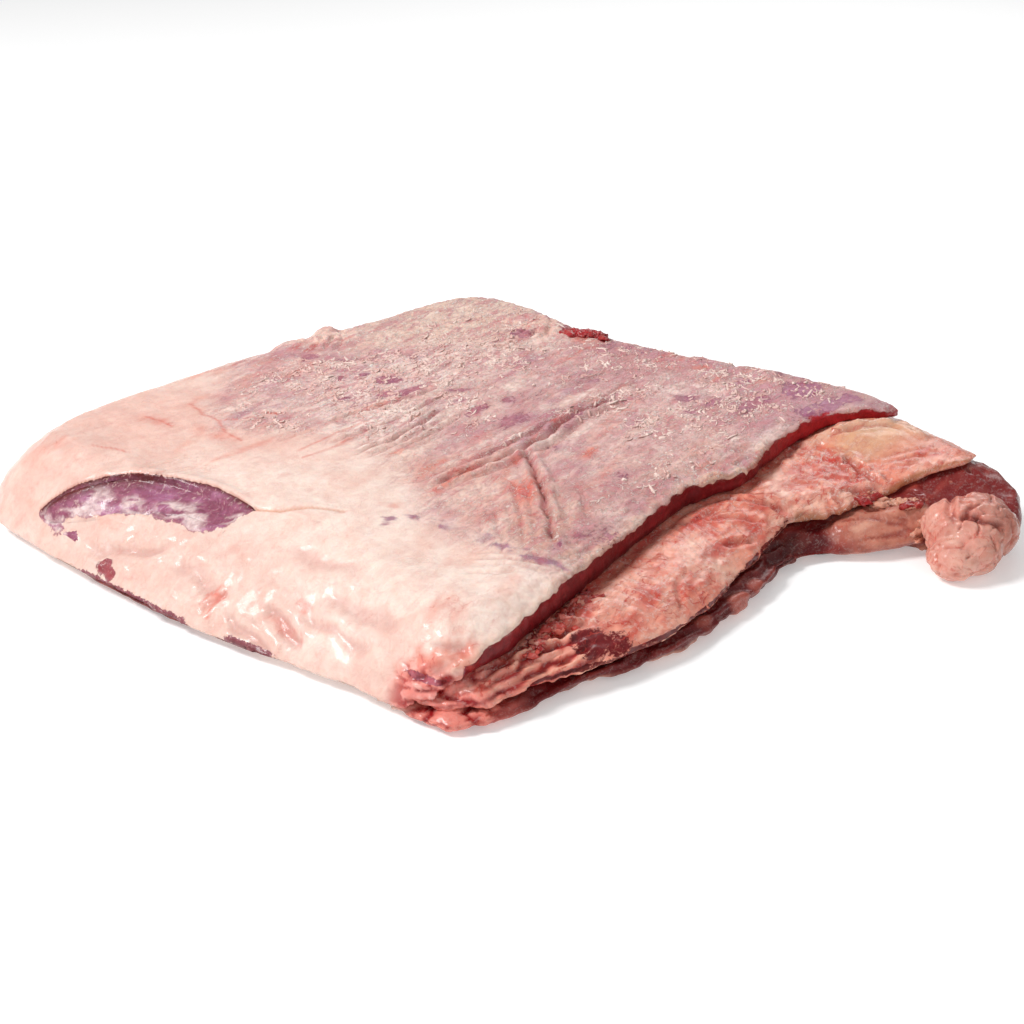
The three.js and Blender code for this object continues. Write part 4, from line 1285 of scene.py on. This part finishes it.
bare = marble * (0.42 - 0.16 * front_foot) * (1 - flap) * (1 - corner) * (1 - left_rim) * (1 - pocket)
dress(
    lean, flesh("wet_lean", 0.5, 0.001, 0.38, 0.18, 0.45, 0.12), "lower_muscle", "lean",
    paint=paint, under=under, bare=np.maximum(bare, 0.20 * flap + 0.22 * corner), ragged=1,
    wet=0.7 + 0.5 * grain - 0.3 * front_foot * (1 - corner), fleck=0.12,
    vein=flap * 0.5 + below * 0.2 + corner * 0.4,
)

# %% [markdown]
# ## Crumbs and torn bits
# Where the sheet was cut along the ledge, torn lumps of fat and meat lie wet in the trough. More of them
# hang between the flap and the lump at the nose, and a dark red scrap of meat clings to the far edge of
# the sheet. Each bit is a rounded lump, pressed flat and pushed well out of shape.

# %% Shapes of the crumbs
TROUGH = [(-128, -159), (-112, -155), (-98, -149), (-84, -144), (-70, -142)]
TORN_EDGE = [(122, -158), (130, -160), (137, -166), (140, -174), (136, -182), (132, -190)]
FAR_EDGE = [(146, 106), (150, 100), (154, 94), (158, 88)]


def lump_shape():
    """A rounded lump of 1 mm radius, as vertices and triangles."""
    bpy.ops.mesh.primitive_ico_sphere_add(subdivisions=3, radius=1)
    lump = bpy.context.object
    verts = np.array([v.co[:] for v in lump.data.vertices])
    faces = np.array([f.vertices[:] for f in lump.data.polygons])
    bpy.data.objects.remove(lump)
    return verts, faces


def scattered(count, line, spread, radius, support, lowest):
    """Lumps along a line, resting on whichever piece lies highest there, but none below the lowest."""
    k = draw.random(count)
    along = np.linspace(0, 1, len(line))
    spots = np.column_stack([np.interp(k, along, [point[axis] for point in line]) for axis in (0, 1)])
    spots += draw.normal(size=(count, 2)) * spread
    level = np.max([heights(piece, *spots.T) for piece in support], axis=0)
    lumps = []
    for n in np.flatnonzero(level > lowest):
        shape = ball * draw.uniform(*radius) * draw.uniform([0.7, 0.5, 0.35], [2.4, 1.2, 0.8])
        shape = shape + 0.5 * shape * noise(shape + 9.7 * n, 2.6, 5)[:, None]
        shape = shape + 1.1 * np.column_stack([noise(shape + 3.1 * n, 2.0, s) for s in (1, 2, 3)])
        lumps.append(turned(shape, draw.uniform(0, 360), 1) + [*spots[n], level[n] - 0.1])
    return lumps


ball, ball_faces = lump_shape()
print("a lump has", len(ball_faces), "triangles")

# %% Make the crumbs
groups = [
    scattered(90, TROUGH, 2.8, (1.2, 3.2), [ledge], 10),
    scattered(26, TORN_EDGE, 2.2, (2.2, 4.0), [lean, ledge], 9),
    scattered(22, FAR_EDGE, 1.6, (2.4, 4.2), [sheet], 30),
]
counts = [len(group) for group in groups]
print("crumbs in the trough, at the nose and on the far edge", counts)
verts = np.concatenate([lump for group in groups for lump in group])
faces = np.concatenate([ball_faces + k * len(ball) for k in range(sum(counts))])
crumbs = joined_mesh("torn_crumbs", keep_in(verts), faces.tolist())
v = points_of(crumbs)
tone = np.repeat(draw.random(sum(counts)), len(ball))
group_of = np.repeat(np.repeat([0, 1, 2], counts), len(ball))
paint = painted(
    v, (204, 84, 74), ((230, 152, 134), step(tone, 0.55, 0.8)), ((158, 26, 28), step(-tone, -0.4, -0.2)),
    ((222, 160, 136), (group_of == 1) * (tone > 0.3)), ((170, 30, 40), (group_of == 2) * 0.95),
)
dress(
    crumbs, flesh("wet_crumbs", 0.4, 0.0006, 0.38, 0.18, 0.5, 0.2), None, "seam_fat",
    paint=paint, under=(126, 24, 26), bare=0.34, ragged=1, wet=0.9, fleck=0.2, vein=0.3,
)

# %% [markdown]
# ## The nose fat
# The lump at the nose is firm fat in rounded lobules, with fine wrinkles between them.

# %% Shape the nose fat
LUMP_CREASES = [
    ([(130, -210), (135, -214), (140, -222), (151, -230)], 1.2, 2.8),
    ([(133, -214), (140, -212), (150, -214)], 1.1, 1.6),
    ([(157, -182), (146, -196), (133, -205), (128, -214)], 1.6, 2.0),
    ([(150, -188), (156, -196), (166, -200)], 1.4, 1.6),
]
lump = fine_copy("nose_fat", "nose_fat_lump", 0.0008, 16)
p, nrm = points_of(lump), normals_of(lump)
brain = ridges(swirled(p, 3.0, 14, 311), 11, 2, 302)
relief = 0.9 * fbm(p, 16, 3, 301) - 1.9 * (step(brain, 0.5, 1.0) - 0.25) + 0.45 * fbm(p, 4, 2, 303)
fan = ridges(np.column_stack([p[:, 0] + p[:, 1], 0.15 * p[:, 0], p[:, 2] * 0.2]), 4, 2, 306)
relief += 0.8 * (fan - 0.4) * blob(p, 124, -206, 14, 12)
split = np.zeros(len(p))
for path, half_width, depth in LUMP_CREASES:
    dip = crease(p, path, half_width, depth)
    relief += step(nrm[:, 2], 0, 0.5) * dip
    split = np.maximum(split, np.clip(-dip / depth, 0, 1))
set_points(lump, keep_in(p + nrm * relief[:, None]))
print("lump moved by", relief.min().round(1), "to", relief.max().round(1), "mm")

# %% Paint the nose fat
paint = painted(
    p, (222, 158, 142), ((234, 182, 164), step(fbm(p, 14, 2, 304), -0.3, 0.4)),
    ((206, 112, 92), step(brain, 0.62, 0.9) * 0.8), ((126, 26, 26), split * (p[:, 1] < -206) * 0.9),
    ((216, 120, 100), blob(p, 150, -200, 22, 14) * 0.5),
    ((196, 92, 74), blob(p, 124, -206, 12, 10) * step(fan, 0.5, 0.9) * 0.7),
    # The far end of the lump is painted darker: painted shade on its shadowed side
    ((176, 104, 86), step(p[:, 0] - p[:, 1], 352, 386) * 0.75),
)
dress(
    lump, flesh("nose_fat_flesh", 0.45, 0.0008, 0.38, 0.20, 0.45, 0.2), "nose_fat", "nose_fat",
    paint=paint, under=(150, 60, 52), bare=0.3 * step(brain, 0.7, 0.95), ragged=1,
    wet=0.8 + 0.4 * fbm(p, 10, 2, 305), fleck=0.12, vein=0.55,
)
